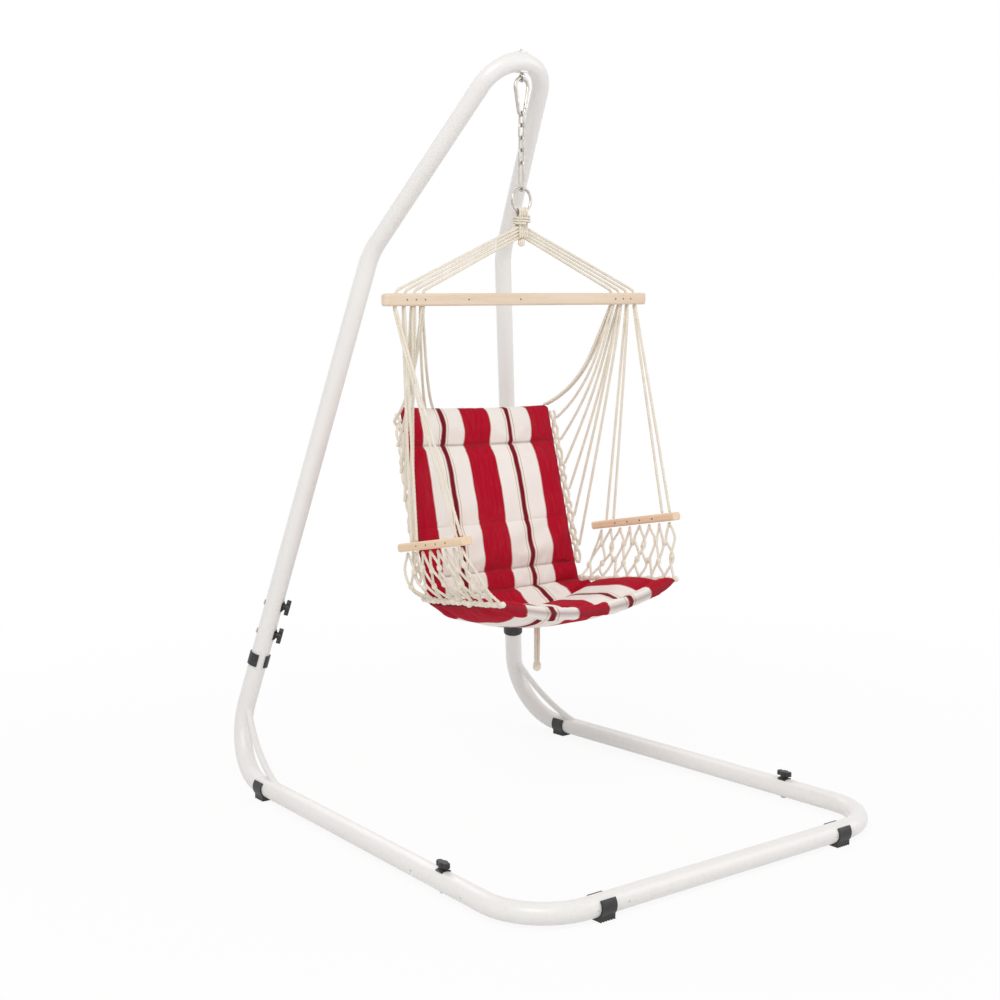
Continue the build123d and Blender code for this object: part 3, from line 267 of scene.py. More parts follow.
def knot_ball(centre, axis, size, around=14, rows=9):
    """Pulled-tight knot: an ellipsoid along an axis, ribbed by a wave that winds round it twice.

    Its length is 1.24 times its size, and the wave adds or takes a tenth of the radius.
    """
    axis = np.asarray(axis, float) / np.linalg.norm(axis)
    fixed = np.eye(3)[np.argmin(np.abs(axis))]
    side = np.cross(axis, fixed)
    side /= np.linalg.norm(side)
    up = np.cross(axis, side)
    polar = np.linspace(0.0, np.pi, rows)[1:-1]
    angle = np.linspace(0.0, 2 * np.pi, around, endpoint=False)
    wave = 1 + 0.1 * np.cos(2 * angle[None] + 5 * polar[:, None])
    radius = size / 2 * np.sin(polar)[:, None] * wave
    reach = size * 0.62
    ring = (
        np.asarray(centre)
        + (reach * np.cos(polar))[:, None, None] * axis
        + (radius * np.cos(angle))[..., None] * side
        + (radius * np.sin(angle))[..., None] * up
    )
    count = ring.shape[0] * around
    index = np.arange(count).reshape(ring.shape[0], around)
    across = np.roll(index, -1, axis=1)
    quads = np.stack([index[:-1], index[1:], across[1:], across[:-1]], axis=-1).reshape(-1, 4)
    top = np.stack([np.full(around, count), index[0], across[0]], axis=-1)
    bottom = np.stack([np.full(around, count + 1), across[-1], index[-1]], axis=-1)
    poles = np.asarray(centre) + np.array([[1.0], [-1.0]]) * axis * reach
    strand, along = np.meshgrid(angle / (2 * np.pi) * 3, polar * 2)
    places = np.r_[np.c_[strand.ravel(), along.ravel()], [[0.0, 0.0], [0.0, 6.0]]]
    places = np.c_[places, np.zeros(count + 2)]
    return np.r_[ring.reshape(-1, 3), poles], quads, np.r_[top, bottom], places


def make_piece(name, shapes, material):
    """One object of several shapes, each given as vertices, quads, triangles and places."""
    counts = np.cumsum([0] + [len(s[0]) for s in shapes])
    vertices = np.concatenate([s[0] for s in shapes])
    quads = np.concatenate([s[1] + c for s, c in zip(shapes, counts)])
    triangles = np.concatenate([s[2] + c for s, c in zip(shapes, counts)])
    places = np.concatenate([s[3] for s in shapes])
    mesh = bpy.data.meshes.new(name)
    mesh.from_pydata(vertices.tolist(), [], quads.tolist() + triangles.tolist())
    layer = mesh.attributes.new("place", "FLOAT_VECTOR", "POINT")
    layer.data.foreach_set("vector", places.astype(np.float32).ravel())
    mesh.polygons.foreach_set("use_smooth", np.ones(len(mesh.polygons), bool))
    mesh.materials.append(material)
    piece = bpy.data.objects.new(name, mesh)
    bpy.context.scene.collection.objects.link(piece)
    return piece


cotton, tree, shader, place = start_material("cotton_cord")
lie = tree.nodes.new("ShaderNodeAttribute")
lie.attribute_name = "place"
fibre = add_noise(tree, lie.outputs["Vector"], 2.2, 4.0, 0.6, (1.0, 6.0, 1.0))
patch = add_noise(tree, place, 26.0, 4.0, 0.6)
aged = add_range(tree, patch, 0.38, 0.68, 0.0, 1.0)
yellowed = add_mix(tree, aged, (0.88, 0.81, 0.69), (0.8, 0.715, 0.585))
cord_colour = add_mix(tree, add_range(tree, fibre, 0.35, 0.7, 0.0, 0.4), yellowed, (0.92, 0.875, 0.795))
tree.links.new(cord_colour, shader.inputs["Base Color"])
shader.inputs["Roughness"].default_value = 0.9
shader.inputs["Sheen Weight"].default_value = 0.25
shader.inputs["Sheen Roughness"].default_value = 0.5
add_bump(tree, shader, fibre, 0.0006, 0.7)

# Rope head: four loops of cord over the ring, bound under it by a cord wound round their legs.
# Below the binding the legs run on beside the bridle's cords and end at a round knot.
hang_y = 0.067
eye_cord_size = 0.007
loop_radius = 0.0089
ring_centre = 1.6213
ring_size = 0.031
legs_bottom = 1.5219
loop_steps = 24
loop_shapes = []
for loop_x in (-0.0108, -0.0036, 0.0036, 0.0108):
    crown = ring_centre - math.sqrt(ring_size**2 - loop_x**2)
    half = np.linspace(0.0, np.pi, loop_steps)
    over_y = hang_y - loop_radius * np.cos(half)
    over = np.stack([np.full(loop_steps, loop_x), over_y, crown + loop_radius * np.sin(half)], axis=1)
    leg = np.array([[loop_x, hang_y - loop_radius, legs_bottom]])
    other_leg = leg * [1, -1, 1] + [0, 2 * hang_y, 0]
    loop_shapes.append(rope_tube(np.r_[leg, over, other_leg], eye_cord_size))
rope_loops = make_piece("rope_loops", loop_shapes, cotton)
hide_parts("rope_eye")
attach(rope_loops, "chair")

binding_radius = 0.0211
binding_top = 1.5803
binding_pitch = 0.0068
binding_cord = 0.0062
binding_turns = 3
turns = np.linspace(0.0, 2 * np.pi * binding_turns, binding_turns * 36 + 1)
wound = np.stack(
    [
        binding_radius * np.sin(turns),
        hang_y - binding_radius * np.cos(turns),
        binding_top - binding_pitch * turns / (2 * np.pi),
    ],
    axis=1,
)
rope_winding = make_piece("rope_winding", [rope_tube(wound, binding_cord, lay=0.03)], cotton)
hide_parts("rope_binding")
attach(rope_winding, "chair")

knot_z = 1.5132
knot_size = 0.02
knot_shape = knot_ball((0.0, hang_y, knot_z), (0.0, 0.0, 1.0), knot_size, 28, 19)
round_knot = make_piece("round_knot", [knot_shape], cotton)
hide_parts("head_knot")
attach(round_knot, "chair")

# Bridle: four cords to each side, crossing in the rope head one above the other, for the bar's holes.
# Each goes down through its hole and parts below the bar into the cords that carry the seat.
bar_top = 1.38
bar_bottom = 1.348
cord_size = 0.008
hole_xs = (0.321, 0.349, 0.377, 0.405)
first_cross = knot_z + 0.0148
cross_step = 0.009
for side_name, side in (("left", -1), ("right", 1)):
    for number, hole_x in enumerate(hole_xs):
        inner = np.array([side * 0.002, hang_y, first_cross + number * cross_step])
        bend = np.array([side * hole_x, hang_y, bar_top + 0.0044])
        way = (bend - inner) / np.linalg.norm(bend - inner)
        head = inner - way * 0.0125 + np.array([0.0, side * 0.0034, 0.0])
        foot = np.array([side * hole_x, hang_y, bar_bottom - 0.006])
        line = cord_line([head, inner + way * 0.05, 0.06 * inner + 0.94 * bend, bend, foot])
        strand = make_piece(f"bridle_{side_name}_{number + 1}", [rope_tube(line, cord_size)], cotton)
        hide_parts(f"bridle_{side_name}")
        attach(strand, "chair")


# Spreader bar and armrests: pale sanded beech slats with rounded edges under clear oil.
# The grain runs along each slat, with short dark flecks and a few slow colour bands.
def slat_wood(name, turn, pale, deep):
    """Beech between two colours, with its grain along local X turned to lie along the slat."""
    made, tree, shader, place = start_material(name)
    mapping = tree.nodes.new("ShaderNodeMapping")
    mapping.inputs["Rotation"].default_value = turn
    tree.links.new(place, mapping.inputs["Vector"])
    lie = mapping.outputs["Vector"]
    band = add_noise(tree, lie, 60.0, 5.0, 0.55, (0.05, 1.0, 1.0))
    fleck = add_noise(tree, lie, 420.0, 2.0, 0.5, (0.07, 1.0, 1.0))
    colour = add_mix(tree, add_range(tree, band, 0.35, 0.68, 0.0, 1.0), pale, deep)
    colour = add_mix(tree, add_range(tree, fleck, 0.6, 0.76, 0.0, 0.4), colour, (0.6, 0.44, 0.31))
    tree.links.new(colour, shader.inputs["Base Color"])
    tree.links.new(add_range(tree, band, 0.3, 0.7, 0.42, 0.6), shader.inputs["Roughness"])
    shader.inputs["Specular IOR Level"].default_value = 0.35
    add_bump(tree, shader, fleck, 0.0003, 0.35)
    return made


dress(slat_wood("beech_bar", (0.0, 0.0, 0.0), (0.83, 0.68, 0.54), (0.76, 0.6, 0.455)), "spreader_bar")
for side_name, skew in (("left", 4.0), ("right", -4.0)):
    along_arm = (0.18, 0.0, math.radians(90 + skew))
    oiled = slat_wood(f"beech_arm_{side_name}", along_arm, (0.88, 0.68, 0.49), (0.82, 0.59, 0.4))
    dress(oiled, f"armrest_{side_name}")

# Seat pad: one quilted panel for back and seat, striped cotton both sides over fibre wadding.
# It is sewn through across its width at the head, twice at the waist, at both ends of the bend and at
# the front. The upper seam at the waist is drawn in least.
back_top = np.array([hang_y + 0.218, 1.066])
pad_corner = np.array([hang_y + 0.070, 0.500])
seat_front = np.array([hang_y - 0.306, 0.576])
bend_size = 0.08
back_way = (pad_corner - back_top) / np.linalg.norm(pad_corner - back_top)
seat_way = (seat_front - pad_corner) / np.linalg.norm(seat_front - pad_corner)
bend_angle = math.acos(float(back_way @ seat_way))
bend_reach = bend_size * math.tan(bend_angle / 2)
back_run = float(np.linalg.norm(pad_corner - back_top)) - bend_reach
bend_run = bend_size * bend_angle
bend_end = back_run + bend_run
pad_length = bend_end + float(np.linalg.norm(seat_front - pad_corner)) - bend_reach
top_half = 0.25


def pad_route(along):
    """Point and sitter-side normal of the pad's middle line, in Y and Z, at distances from its top.

    The line goes straight down the back, round an arc of the bend's radius, and straight to the front.
    """
    along = np.asarray(along, float)
    turned = np.clip(along - back_run, 0.0, bend_run) / bend_size
    start = math.atan2(back_way[1], back_way[0])
    heading = start - turned
    way = np.stack([np.cos(heading), np.sin(heading)], axis=-1)
    normal = np.stack([way[..., 1], -way[..., 0]], axis=-1)
    first = back_top + back_way * np.minimum(along, back_run)[..., None]
    hub_normal = np.array([back_way[1], -back_way[0]])
    hub = back_top + back_way * back_run + hub_normal * bend_size
    point = np.where((along > back_run)[..., None], hub - normal * bend_size, first)
    past = np.maximum(along - back_run - bend_run, 0.0)
    return point + seat_way * past[..., None], normal


def pad_half(along):
    """Half width of the pad: 250 mm at the top, 265 round the bend, 290 at the front."""
    return np.interp(along, [0.0, back_run, bend_end, pad_length], [top_half, 0.265, 0.265, 0.29])


def pad_sag(along):
    """How far the sides stand towards the sitter.

    30 mm at the top and 20 at the foot of the back; in the first half of the bend a quarter sine
    lifts them to 60, and they fall to 48 at the front.
    """
    ends = np.interp(along, [0.0, back_run, bend_end, pad_length], [0.03, 0.02, 0.02, 0.008])
    turn = np.clip(2 * (along - back_run) / bend_run, 0.0, 1.0)
    return ends + 0.04 * np.sin(np.pi / 2 * turn)


def pad_place(along, across, out):
    """Points of the pad: across is the share of the half width, out the height towards the sitter.

    The back hangs a little askew: from its foot to its top it goes 7 mm to the left, and its right side
    comes 6.5 mm forward and 7.5 mm down, in proportion to the distance from the middle.
    """
    point, normal = pad_route(along)
    lift = pad_sag(along) * across**2 + out
    yz = point + normal * lift[..., None]
    askew = np.clip(1 - along / back_run, 0.0, 1.0)
    x = across * pad_half(along)
    return np.stack(
        [x - 0.007 * askew, yz[..., 0] - 0.026 * x * askew, yz[..., 1] - 0.03 * x * askew], axis=-1
    )


def round_over(gap, size):
    """Quarter-circle profile of a hem: 0 at the edge, 1 from a gap of the given size inwards."""
    return np.sqrt(np.clip(1 - (1 - np.clip(gap / size, 0, 1)) ** 2, 0, 1))


seams = np.array([0.0, 0.105, 0.325, 0.455, back_run, bend_end, pad_length - 0.048, pad_length])
sewn_half = 0.0045
seam_pull = np.array([1.0, 0.45, 1.0, 1.0, 1.0, 1.0])
fullness = np.array([0.0135, 0.0125, 0.0125, 0.0075, 0.0165, 0.0185, 0.0125])
beside = np.array([-0.0075, -0.003, 0.0, 0.003, 0.0075])
along = np.r_[np.linspace(0.0, pad_length, 92), (seams[:, None] + beside).ravel()]
along = np.unique(np.round(np.clip(along, 0.0, pad_length), 5))
along = along[np.r_[True, np.diff(along) > 0.0022] | np.isin(along, np.round(seams, 5))]
crowding = np.pi / 2 * 0.86
across = np.sin(np.linspace(-1.0, 1.0, 73) * crowding) / math.sin(crowding)
grid_s, grid_u = np.meshgrid(along, across, indexing="ij")
band = np.clip(np.searchsorted(seams, grid_s, side="right") - 1, 0, len(seams) - 2)
share = (grid_s - seams[band]) / (seams[band + 1] - seams[band])
seam_gaps = np.abs(grid_s[..., None] - seams[1:-1])
seam_gap = seam_gaps.min(axis=-1)
seam_depth = seam_pull[seam_gaps.argmin(axis=-1)]
puff = 1 - seam_depth * (1 - np.sqrt(np.clip(4 * share * (1 - share), 0.0, 1.0)))
edge_gap = (1 - np.abs(grid_u)) * pad_half(grid_s)
end_gap = np.minimum(grid_s, pad_length - grid_s)
inner = np.clip(edge_gap / 0.06, 0, 1)
pucker = seam_depth * np.exp(-seam_gap / 0.022) * (1 - np.exp(-seam_gap / 0.004))
wander = 3.1 * np.sin(grid_u * 17 + band * 2.0)
ripple = np.sin(grid_u * 61 + wander) + 0.6 * np.sin(grid_u * 113 + band * 1.7)
slow = np.sin(grid_u * 7.0 + grid_s * 23.0 + band) * np.sin(grid_s * 31.0 - grid_u * 3.0 + 1.3)
slant = np.sin(grid_u * 10.0 + grid_s * 66.0) * np.exp(-(((grid_s - 0.36) / 0.07) ** 2))
stuffing = fullness[band] * puff * (0.3 + 0.7 * np.sin(inner * np.pi / 2))
gathers = 0.0011 * pucker * ripple * inner
folds = (0.002 * slow + 0.0028 * slant) * puff * inner
half_thick = sewn_half + stuffing + gathers + folds
half_thick = half_thick * round_over(edge_gap, 0.012) * round_over(end_gap, 0.01)
corner_size = 0.016
turned_in = np.clip(corner_size - grid_s, 0.0, corner_size)
corner = 1 - (corner_size - np.sqrt(corner_size**2 - turned_in**2)) / top_half
upper = pad_place(grid_s, grid_u * corner, half_thick)
lower = pad_place(grid_s, grid_u * corner, -half_thick)
rows, columns = grid_s.shape
rim = np.zeros((rows, columns), bool)
rim[0] = rim[-1] = rim[:, 0] = rim[:, -1] = True
upper_index = np.arange(rows * columns).reshape(rows, columns)
lower_index = np.where(rim, upper_index, 0)
lower_index[~rim] = rows * columns + np.arange((~rim).sum())
quads_up = np.stack(
    [upper_index[:-1, :-1], upper_index[1:, :-1], upper_index[1:, 1:], upper_index[:-1, 1:]], axis=-1
)
quads_low = np.stack(
    [lower_index[:-1, :-1], lower_index[:-1, 1:], lower_index[1:, 1:], lower_index[1:, :-1]], axis=-1
)
pad_vertices = np.r_[upper.reshape(-1, 3), lower[~rim]]
pad_faces = np.r_[quads_up.reshape(-1, 4), quads_low.reshape(-1, 4)]
cloth_across = grid_u * np.where(grid_u < 0, 0.238, 0.262)
# Painted shade mask, carried in the third value of each place. Near the pad's sides and front end it
# stands for the gusset and seat edge lying in shade. Along the seams it stands for the shade in their
# creases.
hem_shade = np.maximum(np.exp(-edge_gap / 0.01), np.exp(-(pad_length - grid_s) / 0.006))
seam_hem_shade = np.maximum(seam_depth * np.exp(-seam_gap / 0.0035), hem_shade)
pad_places = np.stack([cloth_across, grid_s, seam_hem_shade], axis=-1)
pad_places = np.r_[pad_places.reshape(-1, 3), pad_places[~rim]]
sewn = (seam_gap < 0.001) & (seam_depth == 1.0) | rim
sewn = np.r_[sewn.ravel(), sewn[~rim]]

# Striped cotton: woven red and white stripes down the panel, with a thin dark red one in each white.
# Fine pink and tan threads line the dark stripe, and the weave is a plain one of about 1 mm.
striped, tree, shader, place = start_material("striped_cotton")
lie = tree.nodes.new("ShaderNodeAttribute")
lie.attribute_name = "place"
parts = tree.nodes.new("ShaderNodeSeparateXYZ")
tree.links.new(lie.outputs["Vector"], parts.inputs["Vector"])
drift = add_noise(tree, lie.outputs["Vector"], 14.0, 2.0)
drift = add_range(tree, drift, 0.3, 0.7, -0.0012, 0.0012)
from_middle = add_math(tree, "ADD", add_math(tree, "ABSOLUTE", parts.outputs["X"], 0.0), drift)
ramp = tree.nodes.new("ShaderNodeValToRGB")
ramp.color_ramp.interpolation = "CONSTANT"
white = (0.93, 0.88, 0.84, 1.0)
red = (0.45, 0.003, 0.022, 1.0)
dark_red = (0.19, 0.006, 0.02, 1.0)
pink = (0.60, 0.38, 0.32, 1.0)
tan = (0.62, 0.50, 0.38, 1.0)
ramp_reach = 0.3
stripe_edges = (
    (0.0, red),
    (0.043, pink),
    (0.0455, white),
    (0.0965, tan),
    (0.0990, white),
    (0.1035, pink),
    (0.1055, dark_red),
    (0.1195, pink),
    (0.1215, white),
    (0.1260, tan),
    (0.1285, white),
    (0.1790, pink),
    (0.1815, red),
)
scaled = add_math(tree, "DIVIDE", from_middle, ramp_reach)
tree.links.new(scaled, ramp.inputs["Fac"])
stops = ramp.color_ramp.elements
for stop, (position, colour) in zip(stops, stripe_edges[:2]):
    stop.position, stop.color = position / ramp_reach, colour
for position, colour in stripe_edges[2:]:
    stops.new(position / ramp_reach).color = colour
threads = []
for direction in ("Y", "X"):
    thread = tree.nodes.new("ShaderNodeTexWave")
    thread.bands_direction = direction
    thread.inputs["Scale"].default_value = 260.0
    thread.inputs["Distortion"].default_value = 0.6
    tree.links.new(lie.outputs["Vector"], thread.inputs["Vector"])
    threads.append(thread.outputs["Fac"])
weave = add_math(tree, "MULTIPLY", *threads)
slub = add_noise(tree, lie.outputs["Vector"], 120.0, 4.0, 0.6, (1.0, 0.12, 1.0))
fade = add_noise(tree, place, 7.0, 4.0, 0.6)
paler = add_range(tree, slub, 0.45, 0.8, 0.0, 0.04)
cloth_colour = add_mix(tree, paler, ramp.outputs["Color"], (0.68, 0.5, 0.46))
faded = add_range(tree, fade, 0.45, 0.8, 0.0, 0.06)
cloth_colour = add_mix(tree, faded, cloth_colour, (0.42, 0.14, 0.14))
# Painted shade: the cloth turns dark maroon along the seams' creases and along the pad's rim and front
# end, by the mask in the place's third value.
painted_crease_shade = add_range(tree, parts.outputs["Z"], 0.3, 1.0, 0.0, 0.55)
cloth_colour = add_mix(tree, painted_crease_shade, cloth_colour, (0.16, 0.04, 0.045))
tree.links.new(cloth_colour, shader.inputs["Base Color"])
shader.inputs["Roughness"].default_value = 0.9
shader.inputs["Specular IOR Level"].default_value = 0.08
shader.inputs["Sheen Weight"].default_value = 0.03
shader.inputs["Sheen Roughness"].default_value = 0.45
cloth_height = add_math(tree, "ADD", add_math(tree, "MULTIPLY", weave, 0.6), slub)
add_bump(tree, shader, cloth_height, 0.0006, 0.5)
no_triangles = np.zeros((0, 3), int)
pad_piece = make_piece("quilted_pad", [(pad_vertices, pad_faces, no_triangles, pad_places)], striped)
puff_limit = 0.007
puff_frames = 20
held = pad_piece.vertex_groups.new(name="sewn")
held.add([int(k) for k in np.flatnonzero(sewn)], 1.0, "REPLACE")
stuffed = pad_piece.modifiers.new("stuffed", "CLOTH")
stuffed.settings.vertex_group_mass = "sewn"
stuffed.settings.quality = 6
stuffed.settings.mass = 0.25
stuffed.settings.tension_stiffness = 20.0
stuffed.settings.compression_stiffness = 12.0
stuffed.settings.shear_stiffness = 6.0
stuffed.settings.bending_stiffness = 0.3
stuffed.settings.use_pressure = True
stuffed.settings.uniform_pressure_force = 4.0
stuffed.settings.shrink_min = -0.025
stuffed.settings.effector_weights.gravity = 0.0
stuffed.collision_settings.use_collision = False
stuffed.collision_settings.use_self_collision = False
stuffed.point_cache.frame_start = 1
stuffed.point_cache.frame_end = puff_frames
for step in range(1, puff_frames + 1):
    bpy.context.scene.frame_set(step)
puffed = pad_piece.evaluated_get(bpy.context.evaluated_depsgraph_get())
moved = np.empty(3 * len(pad_vertices))
puffed.data.vertices.foreach_get("co", moved)
shift = moved.reshape(-1, 3) - pad_vertices
far = np.linalg.norm(shift, axis=1, keepdims=True)
shift = shift * np.minimum(1.0, puff_limit / np.maximum(far, 1e-9))
pad_piece.modifiers.remove(stuffed)
pad_piece.vertex_groups.clear()
pad_piece.data.vertices.foreach_set("co", (pad_vertices + shift).ravel())
pad_piece.data.update()
bpy.context.scene.frame_set(1)
smooth = pad_piece.modifiers.new("smooth", "SUBSURF")
smooth.levels = smooth.render_levels = 1
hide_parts("seat_pad")
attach(pad_piece, "chair")

# Edge nets: two soft cords down each side of the back, crossing at every knot, tied to the pad's hem.
# The gaps between them are long and narrow, drawn open by the back cords that hang on the outer one.
cell_count = 12
net_cord = 0.008
net_top = 0.018
net_foot = 0.045
net_middle = 0.0122
for side_name, side in (("left", -1), ("right", 1)):
    fine = np.linspace(net_top, back_run - net_foot, cell_count * 14 + 1)
    phase = (fine - net_top) / (back_run - net_top - net_foot) * cell_count
    uneven = phase + 0.14 * np.sin(phase * 2.4 + side)
    ones = np.full(fine.shape, float(side))
    edge = pad_place(fine, ones, np.zeros(fine.shape))
    toward = pad_place(fine, ones, np.ones(fine.shape)) - edge
    outward = np.array([side, 0.0, 0.0])
    middle = net_middle + 0.0012 * np.sin(phase * 1.9)
    edge_shapes = []
    for sense in (-1, 1):
        off = middle + sense * 0.008 * np.sin(np.pi * uneven)
        lift = sense * 0.003 * np.cos(np.pi * uneven)
        edge_shapes.append(rope_tube(edge + outward * off[:, None] + toward * lift[:, None], net_cord))
    knot_at = np.interp(np.arange(1, cell_count), uneven, fine)
    knots = pad_place(knot_at, np.full(knot_at.shape, float(side)), np.zeros(knot_at.shape))
    tie_at = np.interp(np.arange(0.5, cell_count), uneven, fine)
    ties = pad_place(tie_at, np.full(tie_at.shape, float(side)), np.zeros(tie_at.shape))
    edge_shapes += [knot_ball(k + outward * net_middle, (0.0, 0.25, 1.0), 0.0145) for k in knots]
    edge_shapes += [knot_ball(k + outward * 0.0042, outward, 0.0095) for k in ties]
    edge_piece = make_piece(f"edge_loops_{side_name}", edge_shapes, cotton)
    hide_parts(f"edge_net_{side_name}")
    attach(edge_piece, "chair")


# Armrest nets: cords looped through a row of holes in each armrest and knotted in long diamonds
# down to the hem of the seat, where their ends are gathered round a thicker cord.
def armrest_line(side):
    """Rear and front ends of an armrest's middle line, and the unit vector from one to the other."""
    rear = np.array([side * 0.333, hang_y + 0.078, 0.724])
    front = np.array([side * 0.355, hang_y - 0.231, 0.782])
    return rear, front, (front - rear) / np.linalg.norm(front - rear)


strand_count = 16
net_rows = 3
row_steps = 16
hem_steps = 80
hem_share = np.linspace(0.0, 1.0, hem_steps)
for side_name, side in (("left", -1), ("right", 1)):
    rest_rear, rest_front, rest_way = armrest_line(side)
    hem_at = np.linspace(back_run, pad_length, hem_steps)
    hem_edge = pad_place(hem_at, np.full(hem_steps, float(side)), np.full(hem_steps, -0.002))
    hem_line = hem_edge[:1] + (hem_edge[-1:] - hem_edge[:1]) * hem_share[:, None]
    hem_line = hem_line + np.array([side * 0.0045, 0.0, 0.0])
    numbers = np.arange(strand_count)
    levels = np.linspace(0.0, net_rows, net_rows * row_steps + 1)
    even = 2 * np.floor(numbers / 2) + 0.5
    odd = np.clip(2 * np.floor((numbers + 1) / 2) - 0.5, 0.0, strand_count - 1.0)
    lower_row = np.floor(np.minimum(levels, net_rows - 1e-6)).astype(int)
    part = levels - lower_row
    ease = part * part * (3 - 2 * part) * 0.55 + part * 0.45
    here = np.where((lower_row % 2 == 0)[:, None], even[None], odd[None])
    there = np.where((lower_row % 2 == 1)[:, None], even[None], odd[None])
    column = here + (there - here) * ease[:, None]
    swing = np.sin(np.pi * levels[:, None] / net_rows)
    shift = 0.42 * np.sin(numbers[None] * 2.1 + levels[:, None] * 1.3 + side) * swing
    spot = np.clip((column + shift + 0.5) / strand_count, 0.0, 1.0)
    rest_under = rest_rear + (rest_front - rest_rear) * (0.03 + 0.94 * spot)[..., None]
    rest_under = rest_under + np.array([0.0, 0.0, -0.0142])
    hem_spot = np.stack([np.interp(spot, hem_share, hem_line[:, k]) for k in range(3)], axis=-1)
    hem_spot = hem_spot + np.array([0.0, 0.0, 0.007])
    sink = 0.26 * np.sin(numbers * 1.9 + 2.0 * side)[None] * swing
    drop = (levels[:, None] / net_rows + sink / net_rows)[..., None]
    net = rest_under + (hem_spot - rest_under) * drop
    belly = 0.011 if side < 0 else 0.006
    net = net + np.array([side * belly, 0.0, -0.003]) * swing[..., None]
    rear_bag = np.exp(-numbers / 2.4)[None] * np.sin(np.pi * (levels[:, None] / net_rows) ** 1.7)
    net = net + np.array([side * 0.012, 0.022, -0.014]) * rear_bag[..., None]
    net_shapes = [rope_tube(net[:, j], 0.0075, around=9, step=0.0035) for j in range(strand_count)]
    for row in range(1, net_rows):
        meet = net[row * row_steps]
        pairs = meet[0::2] if row % 2 == 0 else meet[1:-1:2]
        mates = meet[1::2] if row % 2 == 0 else meet[2::2]
        centres = (pairs + mates) / 2
        net_shapes += [knot_ball(c, (0.1 * side, 0.2, 1.0), 0.0145, 12, 9) for c in centres]
    wave = np.sin(hem_at * 210.0)[:, None]
    net_shapes.append(rope_tube(hem_line + np.array([0.0, 0.0, 0.0014]) * wave, 0.0082))
    gathered = hem_line + np.array([side * 0.003, 0.0, 0.0048]) - [0.0, 0.0, 0.0016] * wave
    net_shapes.append(rope_tube(gathered, 0.0068))
    ties = np.linspace(1, hem_steps - 2, strand_count).astype(int)
    for k in ties:
        stray = np.array([side * 0.002 * math.sin(2.3 * k), 0.0, 0.003 + 0.002 * math.sin(1.7 * k)])
        tie_size = 0.0155 + 0.003 * math.sin(3.1 * k)
        net_shapes.append(knot_ball(hem_line[k] + stray, rest_way, tie_size, 12, 9))
    net_piece = make_piece(f"arm_netting_{side_name}", net_shapes, cotton)
    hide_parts(f"arm_net_{side_name}", f"hem_{side_name}")
    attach(net_piece, "chair")

# Armrest pins: short wire nails through each armrest that hold the net's loops in their holes.
# Only their heads show, on both faces of the slat.
pin_sides = 12
pin_angle = np.linspace(0.0, 2 * np.pi, pin_sides + 1)[:-1]
pin_face = 0.0149
for side_name, side in (("left", -1), ("right", 1)):
    rest_rear, rest_front, rest_way = armrest_line(side)
    rest_side = np.cross(rest_way, [0.0, 0.0, 1.0])
    rest_side = rest_side / np.linalg.norm(rest_side)
    rest_up = np.cross(rest_side, rest_way)
    heads = []
    for spot in (0.3, 0.45, 0.6, 0.75):
        for face in (-1, 1):
            middle = rest_rear + (rest_front - rest_rear) * spot + rest_side * face * pin_face
            disc = np.cos(pin_angle)[:, None] * rest_way + np.sin(pin_angle)[:, None] * rest_up
            foot = middle + disc * 0.0027
            crown = middle + disc * 0.0019 + rest_side * face * 0.0007
            tip = middle + rest_side * face * 0.0009
            vertices = np.r_[foot, crown, [tip], [middle]]
            index = np.arange(pin_sides)
            after = np.roll(index, -1)
            quads = np.stack([index, after, after + pin_sides, index + pin_sides], axis=-1)
            tip_at = np.full(pin_sides, 2 * pin_sides)
            fans = np.stack([index + pin_sides, after + pin_sides, tip_at], axis=-1)
            base = np.stack([after, index, tip_at + 1], axis=-1)
            if face > 0:
                quads, fans, base = quads[:, ::-1], fans[:, ::-1], base[:, ::-1]
            heads.append((vertices, quads, np.r_[fans, base], np.zeros(vertices.shape)))
    pins = make_piece(f"armrest_pins_{side_name}", heads, nail_steel)
    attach(pins, "chair")

# Arm cords: a taut pair from each of the two outer holes of the bar to the armrest below.
# Each pair comes out of its hole together, spreads, and is tied down through the armrest.
for side_name, side in (("left", -1), ("right", 1)):
    rest_rear, rest_front, rest_way = armrest_line(side)
    above = np.cross(rest_way, [1.0, 0.0, 0.0])
    above = above * np.sign(above[2])
    for spot, hole_x, label in ((0.2, 0.377, "rear"), (0.88, 0.405, "front")):
        seat = rest_rear + (rest_front - rest_rear) * spot + above * 0.0115
        for sense in (-1, 1):
            hole = np.array([side * hole_x, hang_y + sense * 0.0022, bar_bottom + 0.001])
            head = np.array([side * hole_x, hang_y + sense * 0.0049, bar_bottom - 0.0066])
            foot = seat - rest_way * sense * 0.014
            middle = (head + foot) / 2 + np.array([side * 0.0015, 0.0, -0.002])
            line = cord_line([hole, head, middle, foot])
            strand_name = f"arm_cord_{side_name}_{label}_{'a' if sense < 0 else 'b'}"
            strand = make_piece(strand_name, [rope_tube(line, cord_size)], cotton)
            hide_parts(f"arm_cords_{side_name}")
            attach(strand, "chair")

